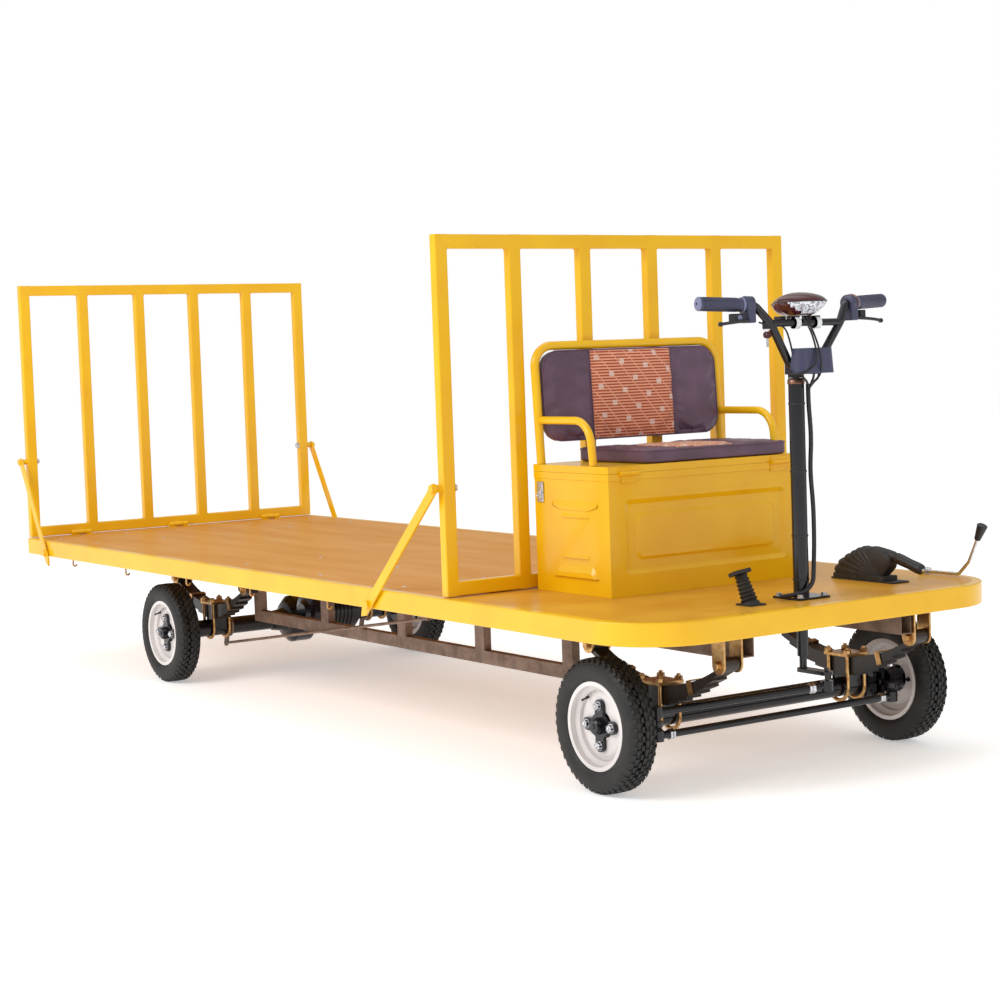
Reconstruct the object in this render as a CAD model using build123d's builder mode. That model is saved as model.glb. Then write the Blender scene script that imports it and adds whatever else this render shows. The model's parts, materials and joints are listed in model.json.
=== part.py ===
from build123d import *
import os
from math import asin, atan2, cos, degrees, hypot, radians, sin, tan

os.makedirs("parts", exist_ok=True)

# Electric platform truck, in millimetres.
# The origin is on the ground under the middle of the deck; +X is forward, +Y is its left, +Z is up.

# Deck
deck_length = 4000.0
deck_width = 1300.0
deck_top = 475.0
rim_height = 60.0
rim_wall = 4.0
rim_flange = 26.0
fold_r = 4.0
front_corner_r = 210.0
rear_corner_r = 32.0
board_thickness = 12.0
plate_thickness = 5.0
sheet_gap = 0.5
sheet_joint_x = 1088.0
hinge_strip = 60.0
groove = 1.0

# Frame under the deck
rail_width = 40.0
rail_height = 62.0
rail_y = 280.0
rail_rear_x = -1900.0
rail_front_x = 1950.0
bar_width = 40.0
tube_wall = 3.0
bar_places = (-1850.0, -1500.0, -250.0, 250.0, 750.0)
plate_bar_places = (1240.0, 1659.0)
hanger_bar_width = 70.0

# Trusses between the axles
post_length = 50.0
post_width = 26.0
chord_height = 40.0
chord_top = 257.0
post_places = (-705.0, -215.0, 285.0, 735.0, 1185.0)

# Wheels and axles
tyre_r = 178.5
tyre_width = 86.0
rim_r = 117.0
rim_width = 70.0
rim_sheet = 4.0
bead_seat_r = 109.5
rim_well_r = 97.0
hub_disc_r = 70.0
nut_circle_r = 52.0
wheel_y = 521.0
front_axle_x = 1659.0
rear_axle_x = -953.0
axle_z = tyre_r
beam_d = 54.0
rear_tube_d = 62.0
hub_r = 22.0
hub_inner_r = 34.0
dish_bore_r = 40.0
stud_r = 6.0
spindle_reach = 16.0
kingpin_r = 9.0
running_gap = 0.05
nut_width = 19.0
hub_bore_r = 12.6
spindle_r = 12.5

# Springs
spring_y = 335.0
spring_half = 275.0
spring_camber = 75.0
leaf_thickness = 6.5
leaf_width = 50.0
leaf_spread = (1.0, 0.97, 0.84, 0.71, 0.58, 0.45, 0.33, 0.21)
eye_r = 19.0
eye_bore_r = 8.5
pin_r = 8.0
seat_thickness = 8.0
clamp_rod_r = 5.5
clamp_plate = 8.0
clamp_nut_height = 10.0

# Gates
gate_height = 1005.0
gate_width = 1270.0
gate_depth = 30.0
gate_tube = 40.0
tube_corner_r = 4.0
gate_lift = 3.0
gate_bar_count = 4
front_gate_x = 1088.0
rear_gate_x = -1985.0
hinge_pin_r = 6.0
hinge_barrel_r = 9.0
hinge_offset = 11.0
hinge_barrel_length = 34.0
hinge_gap = 1.0
hinge_places = (-430.0, 0.0, 430.0)
hinge_leaf = 3.0

# Stays
stay_width = 30.0
stay_thickness = 6.0
stay_gap = 5.2
stay_bolt_r = 7.0
stay_bolt_head = 9.0
stay_foot_z = 428.0
stay_tip = 56.0
stay_top_z = 780.0
front_stay_foot_x = 708.0
rear_stay_foot_x = -1775.0
boss_r = 11.0
boss_gap = 0.6

# Bench box and seat
bench_front_x = 1470.0
bench_depth = 345.0
bench_width = 687.0
bench_wall = 3.0
bench_height = 336.0
bench_band = 1.5
bench_band_height = 19.0
lid_height = 20.0
lid_gap = 0.4
lid_hinge_r = 6.0
tube_r = 12.5
back_height = 345.0
back_lean = 20.0
back_corner_r = 60.0
seat_cushion_depth = 330.0
seat_cushion_width = 523.0
seat_cushion_thickness = 43.0
back_cushion_height = 262.0
back_cushion_thickness = 38.0
cushion_gap = 0.4
arm_rise = 124.0
arm_reach = 245.0
battery_size = (250.0, 560.0, 210.0)

# Steering
column_x = 1847.0
column_d = 42.0
column_top = 1056.0
column_plate = 110.0
shaft_d = 30.0
shaft_r = 10.0
lower_tube_bottom = 320.0
pitman_length = 90.0
kingpin_y = 420.0
link_ball_r = 16.0
link_ball_height = 28.0
ball_stud_r = 6.0
ball_gap = 0.5
link_z = 210.0
tie_rod_z = 148.0
pitman_ball_z = 250.0
tie_rod_d = 20.0
drag_link_d = 20.0
bar_r = 11.0
grip_r = 17.5
grip_length = 125.0
cross_bar_r = 9.5
meter_clamp_r = 15.0


def deck_plan(inset):
    # The deck seen from above, drawn in by the inset, with its two large corners at the front.
    with BuildSketch(mode=Mode.PRIVATE) as plan:
        Rectangle(deck_length - 2 * inset, deck_width - 2 * inset)
        corners = plan.vertices().group_by(Axis.X)
        fillet(corners[-1], front_corner_r - inset)
        corners = plan.vertices().group_by(Axis.X)
        fillet(corners[0], rear_corner_r - inset)
    return plan.sketch


# Deck rim: folded channel all the way round
rim_bottom = deck_top - rim_height
with BuildPart() as deck_rim:
    with BuildSketch(Plane.XY.offset(rim_bottom)):
        add(deck_plan(0))
        add(deck_plan(rim_wall), mode=Mode.SUBTRACT)
    extrude(amount=rim_height)
    for level in (rim_bottom, deck_top - rim_wall):
        with BuildSketch(Plane.XY.offset(level)):
            add(deck_plan(0))
            add(deck_plan(rim_flange), mode=Mode.SUBTRACT)
        extrude(amount=rim_wall)
    levels = deck_rim.faces().filter_by(Plane.XY).sort_by(Axis.Z)
    fillet(levels[0].outer_wire().edges() + levels[-1].outer_wire().edges(), fold_r - 1.0)
deck_rim.part.label = "deck_rim"
export_step(deck_rim.part, "parts/deck_rim.step")

# Load board behind the joint, grooved off from its hinge strips, and the steel plate ahead of it
board_bottom = deck_top - board_thickness
plate_bottom = deck_top - plate_thickness
with BuildPart() as deck_board:
    with BuildSketch(Plane.XY.offset(board_bottom)):
        add(deck_plan(rim_flange + sheet_gap))
        with Locations((sheet_joint_x - sheet_gap, 0)):
            Rectangle(deck_length, deck_width, align=(Align.MIN, Align.CENTER), mode=Mode.SUBTRACT)
    extrude(amount=board_thickness)
    with BuildSketch(Plane.XY.offset(deck_top)):
        with Locations((rear_gate_x + hinge_strip, 0), (front_gate_x - hinge_strip, 0)):
            Rectangle(groove, deck_width)
    extrude(amount=-groove, mode=Mode.SUBTRACT)
deck_board.part.label = "deck_board"
export_step(deck_board.part, "parts/deck_board.step")

with BuildPart() as front_deck_plate:
    with BuildSketch(Plane.XY.offset(plate_bottom)):
        add(deck_plan(rim_flange + sheet_gap))
        with Locations((sheet_joint_x + sheet_gap, 0)):
            Rectangle(deck_length, deck_width, align=(Align.MAX, Align.CENTER), mode=Mode.SUBTRACT)
        with Locations((column_x, 0)):
            Circle(shaft_d / 2 + 8.0, mode=Mode.SUBTRACT)
    extrude(amount=plate_thickness)
front_deck_plate.part.label = "front_deck_plate"
export_step(front_deck_plate.part, "parts/front_deck_plate.step")

# Rails along the frame, under the bars
rail_top = rim_bottom + rim_wall
rail_bottom = rail_top - rail_height
rail_length = rail_front_x - rail_rear_x
with BuildPart() as frame_rails:
    with BuildSketch(Plane.YZ.offset(rail_rear_x)):
        with Locations(*[(side * rail_y, (rail_bottom + rail_top) / 2) for side in (-1, 1)]):
            Rectangle(rail_width, rail_height)
            Rectangle(rail_width - 2 * tube_wall, rail_height - 2 * tube_wall, mode=Mode.SUBTRACT)
    extrude(amount=rail_length)
frame_rails.part.label = "frame_rails"
export_step(frame_rails.part, "parts/frame_rails.step")

# Bars across the frame: place, width and the sheet that lies on them
spring_ends = [axle + end for axle in (front_axle_x, rear_axle_x) for end in (-spring_half, spring_half)]
cross_bars = [(x, bar_width, board_bottom) for x in bar_places]
cross_bars += [(x, bar_width, plate_bottom) for x in plate_bar_places]
cross_bars += [
    (x, hanger_bar_width, plate_bottom if x > sheet_joint_x else board_bottom) for x in spring_ends
]
inner_width = deck_width - 2 * rim_wall
with BuildPart() as cross_members:
    for x, width, top in cross_bars:
        with BuildSketch(Plane.XZ.offset(-inner_width / 2)):
            with Locations((x, (rail_top + top) / 2)):
                Rectangle(width, top - rail_top)
                Rectangle(width - 2 * tube_wall, top - rail_top - 2 * tube_wall, mode=Mode.SUBTRACT)
        extrude(amount=inner_width)
    with BuildSketch(Plane.XY.offset(rail_top)):
        add(deck_plan(rim_wall))
    extrude(amount=rim_height, mode=Mode.INTERSECT)
cross_members.part.label = "cross_members"
export_step(cross_members.part, "parts/cross_members.step")

# Trusses: chords and the posts that carry them
chord_length = post_places[-1] - post_places[0] + post_length
with BuildPart() as truss_chords:
    with BuildSketch(Plane.YZ.offset(post_places[0] - post_length / 2)):
        with Locations(*[(side * rail_y, chord_top - chord_height / 2) for side in (-1, 1)]):
            Rectangle(post_width, chord_height)
            Rectangle(post_width - 2 * tube_wall, chord_height - 2 * tube_wall, mode=Mode.SUBTRACT)
    extrude(amount=chord_length)
truss_chords.part.label = "truss_chords"
export_step(truss_chords.part, "parts/truss_chords.step")

with BuildPart() as truss_posts:
    with BuildSketch(Plane.XY.offset(chord_top)):
        with Locations(*[(x, side * rail_y) for x in post_places for side in (-1, 1)]):
            Rectangle(post_length, post_width)
            Rectangle(post_length - 2 * tube_wall, post_width - 2 * tube_wall, mode=Mode.SUBTRACT)
    extrude(amount=rail_bottom - chord_top)
truss_posts.part.label = "truss_posts"
export_step(truss_posts.part, "parts/truss_posts.step")

# Leaf springs: leaves bent about one centre above the axle
spring_seat_z = axle_z + beam_d / 2 + seat_thickness
pack_height = leaf_thickness * len(leaf_spread)
spring_low = spring_seat_z + pack_height
spring_r = (spring_half**2 + spring_camber**2) / (2 * spring_camber)
spring_centre_z = spring_low + spring_r
eye_z = spring_low + spring_camber + leaf_thickness / 2
spring_angle = degrees(asin(spring_half / spring_r))


def leaf_sector(inner_r, outer_r, half_angle):
    # A bent leaf seen from the side: a ring cut to an even angle each side of straight down.
    reach = 2 * outer_r * sin(radians(half_angle))
    drop = outer_r * cos(radians(half_angle))
    with BuildSketch(mode=Mode.PRIVATE) as leaf:
        with BuildLine():
            CenterArc((0, 0), outer_r, -90 - half_angle, 2 * half_angle)
            CenterArc((0, 0), inner_r, -90 - half_angle, 2 * half_angle)
            for side in (-1, 1):
                turn = radians(-90 + side * half_angle)
                Line(
                    (inner_r * cos(turn), inner_r * sin(turn)),
                    (outer_r * cos(turn), outer_r * sin(turn)),
                )
        make_face()
    return leaf.sketch


with BuildPart() as leaf_springs:
    for axle in (front_axle_x, rear_axle_x):
        for side in (-1, 1):
            middle = Plane(
                origin=(axle, side * spring_y + leaf_width / 2, spring_centre_z),
                x_dir=(1, 0, 0),
                z_dir=(0, -1, 0),
            )
            with BuildSketch(middle):
                for number, spread in enumerate(leaf_spread):
                    inner_r = spring_r + number * leaf_thickness
                    add(leaf_sector(inner_r, inner_r + leaf_thickness, spring_angle * spread))
                eyes = [(end, eye_z - spring_centre_z) for end in (-spring_half, spring_half)]
                with Locations(*eyes):
                    Circle(eye_r)
                with Locations(*eyes):
                    Circle(eye_bore_r, mode=Mode.SUBTRACT)
            extrude(amount=leaf_width)
leaf_springs.part.label = "leaf_springs"
export_step(leaf_springs.part, "parts/leaf_springs.step")

# Hangers: two ears and a pin under the cross bar at each spring end
ear_gap = 1.0
ear_wall = 6.0
ear_length = 46.0
with BuildPart() as spring_hangers:
    for end in spring_ends:
        for side in (-1, 1):
            for ear in (-1, 1):
                offset = ear * (leaf_width / 2 + ear_gap)
                face = Plane(
                    origin=(end, side * spring_y + offset, eye_z),
                    x_dir=(1, 0, 0),
                    z_dir=(0, ear, 0),
                )
                up = 1 if face.y_dir.Z > 0 else -1
                with BuildSketch(face):
                    Circle(ear_length / 2)
                    with Locations((0, up * (rail_top - eye_z) / 2)):
                        Rectangle(ear_length, rail_top - eye_z)
                extrude(amount=ear_wall)
            with BuildSketch(Plane.XZ.offset(-(side * spring_y + leaf_width / 2 + ear_gap))):
                with Locations((end, eye_z)):
                    Circle(pin_r)
            extrude(amount=leaf_width + 2 * ear_gap)
spring_hangers.part.label = "spring_hangers"
export_step(spring_hangers.part, "parts/spring_hangers.step")

# Clamps: a pair of rods round each axle and the plate above the leaves
clamp_half = beam_d / 2 + clamp_rod_r + 5.0
clamp_side = leaf_width / 2 + clamp_rod_r + 1.0
clamp_plate_half = clamp_half + clamp_rod_r + 4.0
clamp_low = spring_centre_z - (spring_r**2 - clamp_plate_half**2) ** 0.5
clamp_top = clamp_low + clamp_plate
with BuildPart() as axle_clamps:
    for axle in (front_axle_x, rear_axle_x):
        for side in (-1, 1):
            with Locations((axle, side * spring_y, clamp_low)):
                Box(
                    2 * clamp_plate_half,
                    2 * (clamp_side + clamp_rod_r + 4),
                    clamp_plate,
                    align=(Align.CENTER, Align.CENTER, Align.MIN),
                )
            for edge in (-1, 1):
                rod_y = side * spring_y + edge * clamp_side
                with BuildLine(Plane.XZ.offset(-rod_y)) as rod_path:
                    start_leg = Line(
                        (axle - clamp_half, clamp_top + clamp_nut_height + 6), (axle - clamp_half, axle_z)
                    )
                    ThreePointArc(
                        (axle - clamp_half, axle_z), (axle, axle_z - clamp_half), (axle + clamp_half, axle_z)
                    )
                    Line(
                        (axle + clamp_half, axle_z), (axle + clamp_half, clamp_top + clamp_nut_height + 6)
                    )
                with BuildSketch(Plane(origin=start_leg @ 0, z_dir=start_leg % 0)):
                    Circle(clamp_rod_r)
                sweep(path=rod_path.line)
                for leg in (-1, 1):
                    with BuildSketch(Plane.XY.offset(clamp_top)):
                        with Locations((axle + leg * clamp_half, rod_y)):
                            RegularPolygon(nut_width / 2, 6, major_radius=False)
                    extrude(amount=clamp_nut_height)
axle_clamps.part.label = "axle_clamps"
export_step(axle_clamps.part, "parts/axle_clamps.step")

# Front axle: tube, spring seats and a kingpin boss at each end
boss_height = 56.0
kingpin_boss_r = 23.0
with BuildPart() as front_axle:
    with BuildSketch(Plane.XZ.offset(-kingpin_y)):
        with Locations((front_axle_x, axle_z)):
            Circle(beam_d / 2)
    extrude(amount=2 * kingpin_y)
    for side in (-1, 1):
        with Locations((front_axle_x, side * kingpin_y, axle_z)):
            Cylinder(kingpin_boss_r, boss_height)
        with Locations((front_axle_x, side * spring_y, axle_z)):
            Box(64.0, leaf_width, beam_d / 2 + seat_thickness, align=(Align.CENTER, Align.CENTER, Align.MIN))
        with Locations((front_axle_x, side * kingpin_y, axle_z)):
            Cylinder(kingpin_r + running_gap, boss_height, mode=Mode.SUBTRACT)
front_axle.part.label = "front_axle"
export_step(front_axle.part, "parts/front_axle.step")

# Rear axle: tube, differential housing and spring seats
housing_r = 87.0
housing_width = 110.0
housing_ease = 22.0
rear_hub_gap = 6.0
drum_r = 64.0
drum_width = 30.0
hub_inner = 47.0
drum_outer_y = wheel_y - hub_inner - rear_hub_gap
with BuildPart() as rear_axle:
    tube_half = drum_outer_y - drum_width + 5
    with BuildSketch(Plane.XZ.offset(-tube_half)):
        with Locations((rear_axle_x, axle_z)):
            Circle(rear_tube_d / 2)
    extrude(amount=2 * tube_half)
    with BuildSketch(Plane(origin=(rear_axle_x, 0, axle_z), x_dir=(0, 1, 0), z_dir=(1, 0, 0))):
        with BuildLine():
            Polyline(
                (-housing_width, 0),
                (-housing_width, rear_tube_d / 2 + 5),
                (-housing_width / 2 - 6, rear_tube_d / 2 + 12),
                (-housing_width / 2, housing_r - housing_ease),
                (-housing_width / 2 + housing_ease, housing_r),
                (housing_width / 2 - housing_ease, housing_r),
                (housing_width / 2, housing_r - housing_ease),
                (housing_width / 2 + 6, rear_tube_d / 2 + 12),
                (housing_width, rear_tube_d / 2 + 5),
                (housing_width, 0),
                close=True,
            )
        make_face()
    revolve(axis=Axis((rear_axle_x, 0, axle_z), (0, 1, 0)))
    for side in (-1, 1):
        with Locations((rear_axle_x, side * (drum_outer_y - drum_width / 2), axle_z)):
            Cylinder(drum_r, drum_width, rotation=(90, 0, 0))
        with Locations((rear_axle_x, side * spring_y, axle_z)):
            Box(64.0, leaf_width, beam_d / 2 + seat_thickness, align=(Align.CENTER, Align.CENTER, Align.MIN))
        with Locations((rear_axle_x, side * drum_outer_y, axle_z)):
            Cylinder(
                spindle_r,
                wheel_y + spindle_reach - drum_outer_y,
                rotation=(-90 * side, 0, 0),
                align=(Align.CENTER, Align.CENTER, Align.MIN),
            )
rear_axle.part.label = "rear_axle"
export_step(rear_axle.part, "parts/rear_axle.step")

# Drive motor on a flange at the front of the differential, with an end bell and cooling ribs
motor_r = 78.0
motor_length = 200.0
motor_x = rear_axle_x + housing_r + motor_r + 4.0
motor_z = axle_z + 40.0
motor_y = 40.0
motor_ends = (motor_y - motor_length / 2, motor_y + motor_length / 2)
with BuildPart() as drive_motor:
    with BuildSketch(Plane(origin=(motor_x, 0, motor_z), x_dir=(0, 1, 0), z_dir=(1, 0, 0))):
        with BuildLine():
            Polyline(
                (motor_ends[0] - 14, 0),
                (motor_ends[0] - 14, motor_r * 0.45),
                (motor_ends[0], motor_r * 0.6),
                (motor_ends[0] + 6, motor_r - 6),
                (motor_ends[0] + 22, motor_r),
                (motor_ends[1] - 14, motor_r),
                (motor_ends[1], motor_r - 12),
                (motor_ends[1], 0),
                close=True,
            )
        make_face()
        with Locations(*[(motor_ends[0] + 46 + 16 * i, motor_r + 1) for i in range(8)]):
            Rectangle(5.0, 6.0)
    revolve(axis=Axis((motor_x, 0, motor_z), (0, 1, 0)))
    with Locations((motor_x - motor_r - 2.0, 0, axle_z + 20)):
        Box(40.0, housing_width - 2 * housing_ease, 70.0)
    with Locations((rear_axle_x, 0, axle_z)):
        Cylinder(housing_r, 2 * housing_width, rotation=(90, 0, 0), mode=Mode.SUBTRACT)
drive_motor.part.label = "drive_motor"
export_step(drive_motor.part, "parts/drive_motor.step")

# Bench box: folded sheet with a band round its top, a pressed panel in front and louvres at its ends
bench_rear_x = bench_front_x - bench_depth
bench_x = (bench_front_x + bench_rear_x) / 2
bench_top = deck_top + bench_height
press_depth = 7.0
press_size = (578.0, 204.0)
press_z = deck_top + 162.0
pad_size = (500.0, 130.0)
louvre_x = bench_x + 16.0
louvres = (
    # height above the deck, width at the foot, width at the top, height, how far it stands out
    (48.0, 206.0, 156.0, 34.0, 9.0),
    (100.0, 124.0, 116.0, 10.0, 5.0),
    (213.0, 128.0, 120.0, 10.0, 5.0),
    (233.0, 138.0, 214.0, 26.0, 2.0),
)
with BuildPart() as bench_box:
    with Locations((bench_x, 0, deck_top)):
        Box(bench_depth, bench_width, bench_height, align=(Align.CENTER, Align.CENTER, Align.MIN))
    with Locations((bench_x, 0, bench_top)):
        Box(
            bench_depth + 2 * bench_band,
            bench_width + 2 * bench_band,
            bench_band_height,
            align=(Align.CENTER, Align.CENTER, Align.MAX),
        )
    with Locations((bench_x, 0, deck_top + bench_wall)):
        Box(
            bench_depth - 2 * bench_wall,
            bench_width - 2 * bench_wall,
            bench_height,
            align=(Align.CENTER, Align.CENTER, Align.MIN),
            mode=Mode.SUBTRACT,
        )
    with BuildSketch(Plane.YZ.offset(bench_front_x - press_depth - bench_wall)):
        with Locations((0, press_z)):
            RectangleRounded(*press_size, 18.0)
    extrude(amount=press_depth + bench_wall)
    with BuildSketch(Plane.YZ.offset(bench_front_x)):
        with Locations((0, press_z)):
            RectangleRounded(*press_size, 12.0)
    extrude(amount=-press_depth, taper=62, mode=Mode.SUBTRACT)
    with BuildSketch(Plane.YZ.offset(bench_front_x - press_depth)):
        with Locations((0, press_z)):
            RectangleRounded(*pad_size, 24.0)
    extrude(amount=press_depth - 2.0, taper=58)
    for side in (-1, 1):
        for rise, foot, head, height, depth in louvres:
            face_plane = Plane(
                origin=(louvre_x, side * bench_width / 2, deck_top + rise), x_dir=(1, 0, 0), z_dir=(0, side, 0)
            )
            up = 1 if face_plane.y_dir.Z > 0 else -1
            for inset, out in ((0, 0.0), (1, depth)):
                with BuildSketch(face_plane.offset(out)):
                    with BuildLine():
                        Polyline(
                            (-foot / 2 + 3 * inset, 0),
                            (foot / 2 - 3 * inset, 0),
                            (head / 2 - 3 * inset, up * (height - 0.6 * height * inset)),
                            (-head / 2 + 3 * inset, up * (height - 0.6 * height * inset)),
                            close=True,
                        )
                    make_face()
            loft()
bench_box.part.label = "bench_box"
export_step(bench_box.part, "parts/bench_box.step")

# Battery block on the floor of the bench box
with BuildPart() as battery:
    with Locations((bench_x, 0, deck_top + bench_wall)):
        Box(*battery_size, align=(Align.CENTER, Align.CENTER, Align.MIN))
battery.part.label = "battery"
export_step(battery.part, "parts/battery.step")

# Seat lid: a shallow tray turned over, with its hinge barrels on the front edge
lid_bottom = bench_top + lid_gap
lid_top = lid_bottom + lid_height
lid_hinge_x = bench_front_x + bench_band + lid_hinge_r + 0.5
lid_hinge_z = bench_top
with BuildPart() as seat_lid:
    with Locations((bench_x, 0, lid_bottom)):
        Box(
            bench_depth + 2 * bench_band,
            bench_width + 2 * bench_band,
            lid_height,
            align=(Align.CENTER, Align.CENTER, Align.MIN),
        )
    with Locations((bench_x, 0, lid_bottom)):
        Box(
            bench_depth - 2 * bench_wall,
            bench_width - 2 * bench_wall,
            lid_height - bench_wall,
            align=(Align.CENTER, Align.CENTER, Align.MIN),
            mode=Mode.SUBTRACT,
        )
    for place in (-275.0, 269.0):
        with Locations((lid_hinge_x, place, lid_hinge_z)):
            Cylinder(lid_hinge_r, 64.0, rotation=(90, 0, 0))
        with Locations((bench_front_x + bench_band, place, lid_bottom + 4)):
            Box(3.0, 64.0, lid_height - 8, align=(Align.MIN, Align.CENTER, Align.MIN))
seat_lid.part.label = "seat_lid"
export_step(seat_lid.part, "parts/seat_lid.step")

# Back frame: one bent tube standing on the lid
frame_foot_x = bench_rear_x + tube_r + 6.0
frame_half = bench_width / 2 - tube_r
back_top_z = lid_top + back_height - tube_r
with BuildPart() as back_frame:
    with BuildLine() as back_path:
        FilletPolyline(
            (frame_foot_x, -frame_half, lid_top),
            (frame_foot_x - back_lean, -frame_half, back_top_z),
            (frame_foot_x - back_lean, frame_half, back_top_z),
            (frame_foot_x, frame_half, lid_top),
            radius=back_corner_r,
        )
    start = back_path.line @ 0
    with BuildSketch(Plane(origin=start, z_dir=back_path.line % 0)):
        Circle(tube_r)
    sweep(path=back_path.line)
    with Locations((frame_foot_x, 0, lid_top)):
        Box(4 * tube_r, bench_width, 2 * tube_r, align=(Align.CENTER, Align.CENTER, Align.MAX), mode=Mode.SUBTRACT)
back_frame.part.label = "back_frame"
export_step(back_frame.part, "parts/back_frame.step")

# Armrests: bent tubes from the back frame down to the lid
arm_r = 11.0
arm_z = lid_top + arm_rise
arm_front_x = frame_foot_x + arm_reach
with BuildPart() as armrests:
    for side in (-1, 1):
        arm_y = side * frame_half
        rear_x = frame_foot_x - back_lean * (arm_rise - arm_r) / back_height + tube_r + 0.5
        with BuildLine() as arm_path:
            FilletPolyline(
                (rear_x, arm_y, arm_z),
                (arm_front_x - 14.0, arm_y, arm_z),
                (arm_front_x, arm_y, lid_top),
                radius=70.0,
            )
        with BuildSketch(Plane(origin=arm_path.line @ 0, z_dir=arm_path.line % 0)):
            Circle(arm_r)
        sweep(path=arm_path.line)
        with Locations((arm_front_x, arm_y, lid_top)):
            Box(4 * arm_r, 4 * arm_r, 3 * arm_r, align=(Align.CENTER, Align.CENTER, Align.MAX), mode=Mode.SUBTRACT)
armrests.part.label = "armrests"
export_step(armrests.part, "parts/armrests.step")

# Cushions, plain and closed: the seat lies on the lid, the back fills the frame between its legs
cushion_half = frame_half - tube_r - cushion_gap
with BuildPart() as seat_cushion:
    with Locations((bench_front_x - 4.0, cushion_half, lid_top + cushion_gap)):
        Box(
            seat_cushion_depth,
            seat_cushion_width,
            seat_cushion_thickness,
            align=(Align.MAX, Align.MAX, Align.MIN),
        )
    fillet(seat_cushion.edges().filter_by(Axis.Z), 24.0)
    fillet(seat_cushion.faces().sort_by(Axis.Z)[-1].edges(), 14.0)
seat_cushion.part.label = "seat_cushion"
export_step(seat_cushion.part, "parts/seat_cushion.step")

back_rise = back_height - tube_r
back_run = hypot(back_rise, back_lean)
back_plane = Plane(
    origin=(frame_foot_x, 0, lid_top),
    x_dir=(0, 1, 0),
    z_dir=(back_rise, 0, back_lean),
)
with BuildPart() as back_cushion:
    with BuildSketch(back_plane.offset(-tube_r + cushion_gap)):
        with Locations((0, back_run - tube_r - cushion_gap - back_cushion_height / 2)):
            RectangleRounded(2 * cushion_half, back_cushion_height, back_corner_r)
    extrude(amount=back_cushion_thickness)
    fillet(back_cushion.faces().sort_by(Axis.X)[-1].edges(), 14.0)
    fillet(back_cushion.faces().sort_by(Axis.X)[0].edges(), 8.0)
back_cushion.part.label = "back_cushion"
export_step(back_cushion.part, "parts/back_cushion.step")

# Gates: posts, bars and rails welded into one frame, with hinge barrels at the foot
gate_bottom = deck_top + gate_lift
gate_top = deck_top + gate_height
clear_width = gate_width - 2 * gate_tube
bar_pitch = (clear_width + gate_tube) / (gate_bar_count + 1)
boss_end = deck_width / 2 + stay_gap - boss_gap
pin_z = deck_top + hinge_offset
for name, gate_x, inward in (("front_gate", front_gate_x, -1), ("rear_gate", rear_gate_x, 1)):
    pin_x = gate_x + inward * (gate_depth / 2 + hinge_offset)
    with BuildPart() as gate:
        with BuildSketch(Plane.XY.offset(gate_bottom)):
            middle = (gate_bar_count + 1) / 2
            with Locations(*[(gate_x, (i - middle) * bar_pitch) for i in range(gate_bar_count + 2)]):
                RectangleRounded(gate_depth, gate_tube, tube_corner_r)
        extrude(amount=gate_top - gate_bottom)
        with BuildSketch(Plane.XZ.offset(-(gate_width - gate_tube) / 2)):
            with Locations((gate_x, gate_bottom + gate_tube / 2), (gate_x, gate_top - gate_tube / 2)):
                RectangleRounded(gate_depth, gate_tube, tube_corner_r)
        extrude(amount=gate_width - gate_tube)
        for side in (-1, 1):
            with Locations((gate_x, side * gate_width / 2, stay_top_z)):
                Cylinder(
                    boss_r,
                    boss_end - gate_width / 2,
                    rotation=(-90 * side, 0, 0),
                    align=(Align.CENTER, Align.CENTER, Align.MIN),
                )
        for place in hinge_places:
            with Locations((pin_x, place, pin_z)):
                Cylinder(hinge_barrel_r, hinge_barrel_length, rotation=(90, 0, 0))
            with Locations((gate_x + inward * gate_depth / 2, place, pin_z)):
                Box(
                    hinge_offset,
                    hinge_barrel_length,
                    hinge_barrel_r,
                    align=(Align.MIN if inward > 0 else Align.MAX, Align.CENTER, Align.MIN),
                )
            with Locations((pin_x, place, pin_z)):
                Cylinder(hinge_pin_r + 0.05, 2 * hinge_barrel_length, rotation=(90, 0, 0), mode=Mode.SUBTRACT)
    gate.part.label = name
    export_step(gate.part, f"parts/{name}.step")

# Gate hinges: fixed barrels, pins and leaves on the deck
with BuildPart() as gate_hinges:
    for gate_x, inward in ((front_gate_x, -1), (rear_gate_x, 1)):
        pin_x = gate_x + inward * (gate_depth / 2 + hinge_offset)
        for place in hinge_places:
            with Locations((pin_x, place, pin_z)):
                Cylinder(
                    hinge_pin_r, hinge_barrel_length * 2.4 + 2 * hinge_gap, rotation=(90, 0, 0)
                )
            for end in (-1, 1):
                outer_y = place + end * (hinge_barrel_length / 2 + hinge_gap)
                with Locations((pin_x, outer_y, pin_z)):
                    Cylinder(
                        hinge_barrel_r,
                        hinge_barrel_length * 0.7,
                        rotation=(-90 * end, 0, 0),
                        align=(Align.CENTER, Align.CENTER, Align.MIN),
                    )
                with Locations((pin_x - inward * 4.0, outer_y, deck_top)):
                    Box(
                        34.0,
                        hinge_barrel_length * 0.7,
                        hinge_leaf,
                        align=(
                            Align.MIN if inward > 0 else Align.MAX,
                            Align.MIN if end > 0 else Align.MAX,
                            Align.MIN,
                        ),
                    )
gate_hinges.part.label = "gate_hinges"
export_step(gate_hinges.part, "parts/gate_hinges.step")

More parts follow.
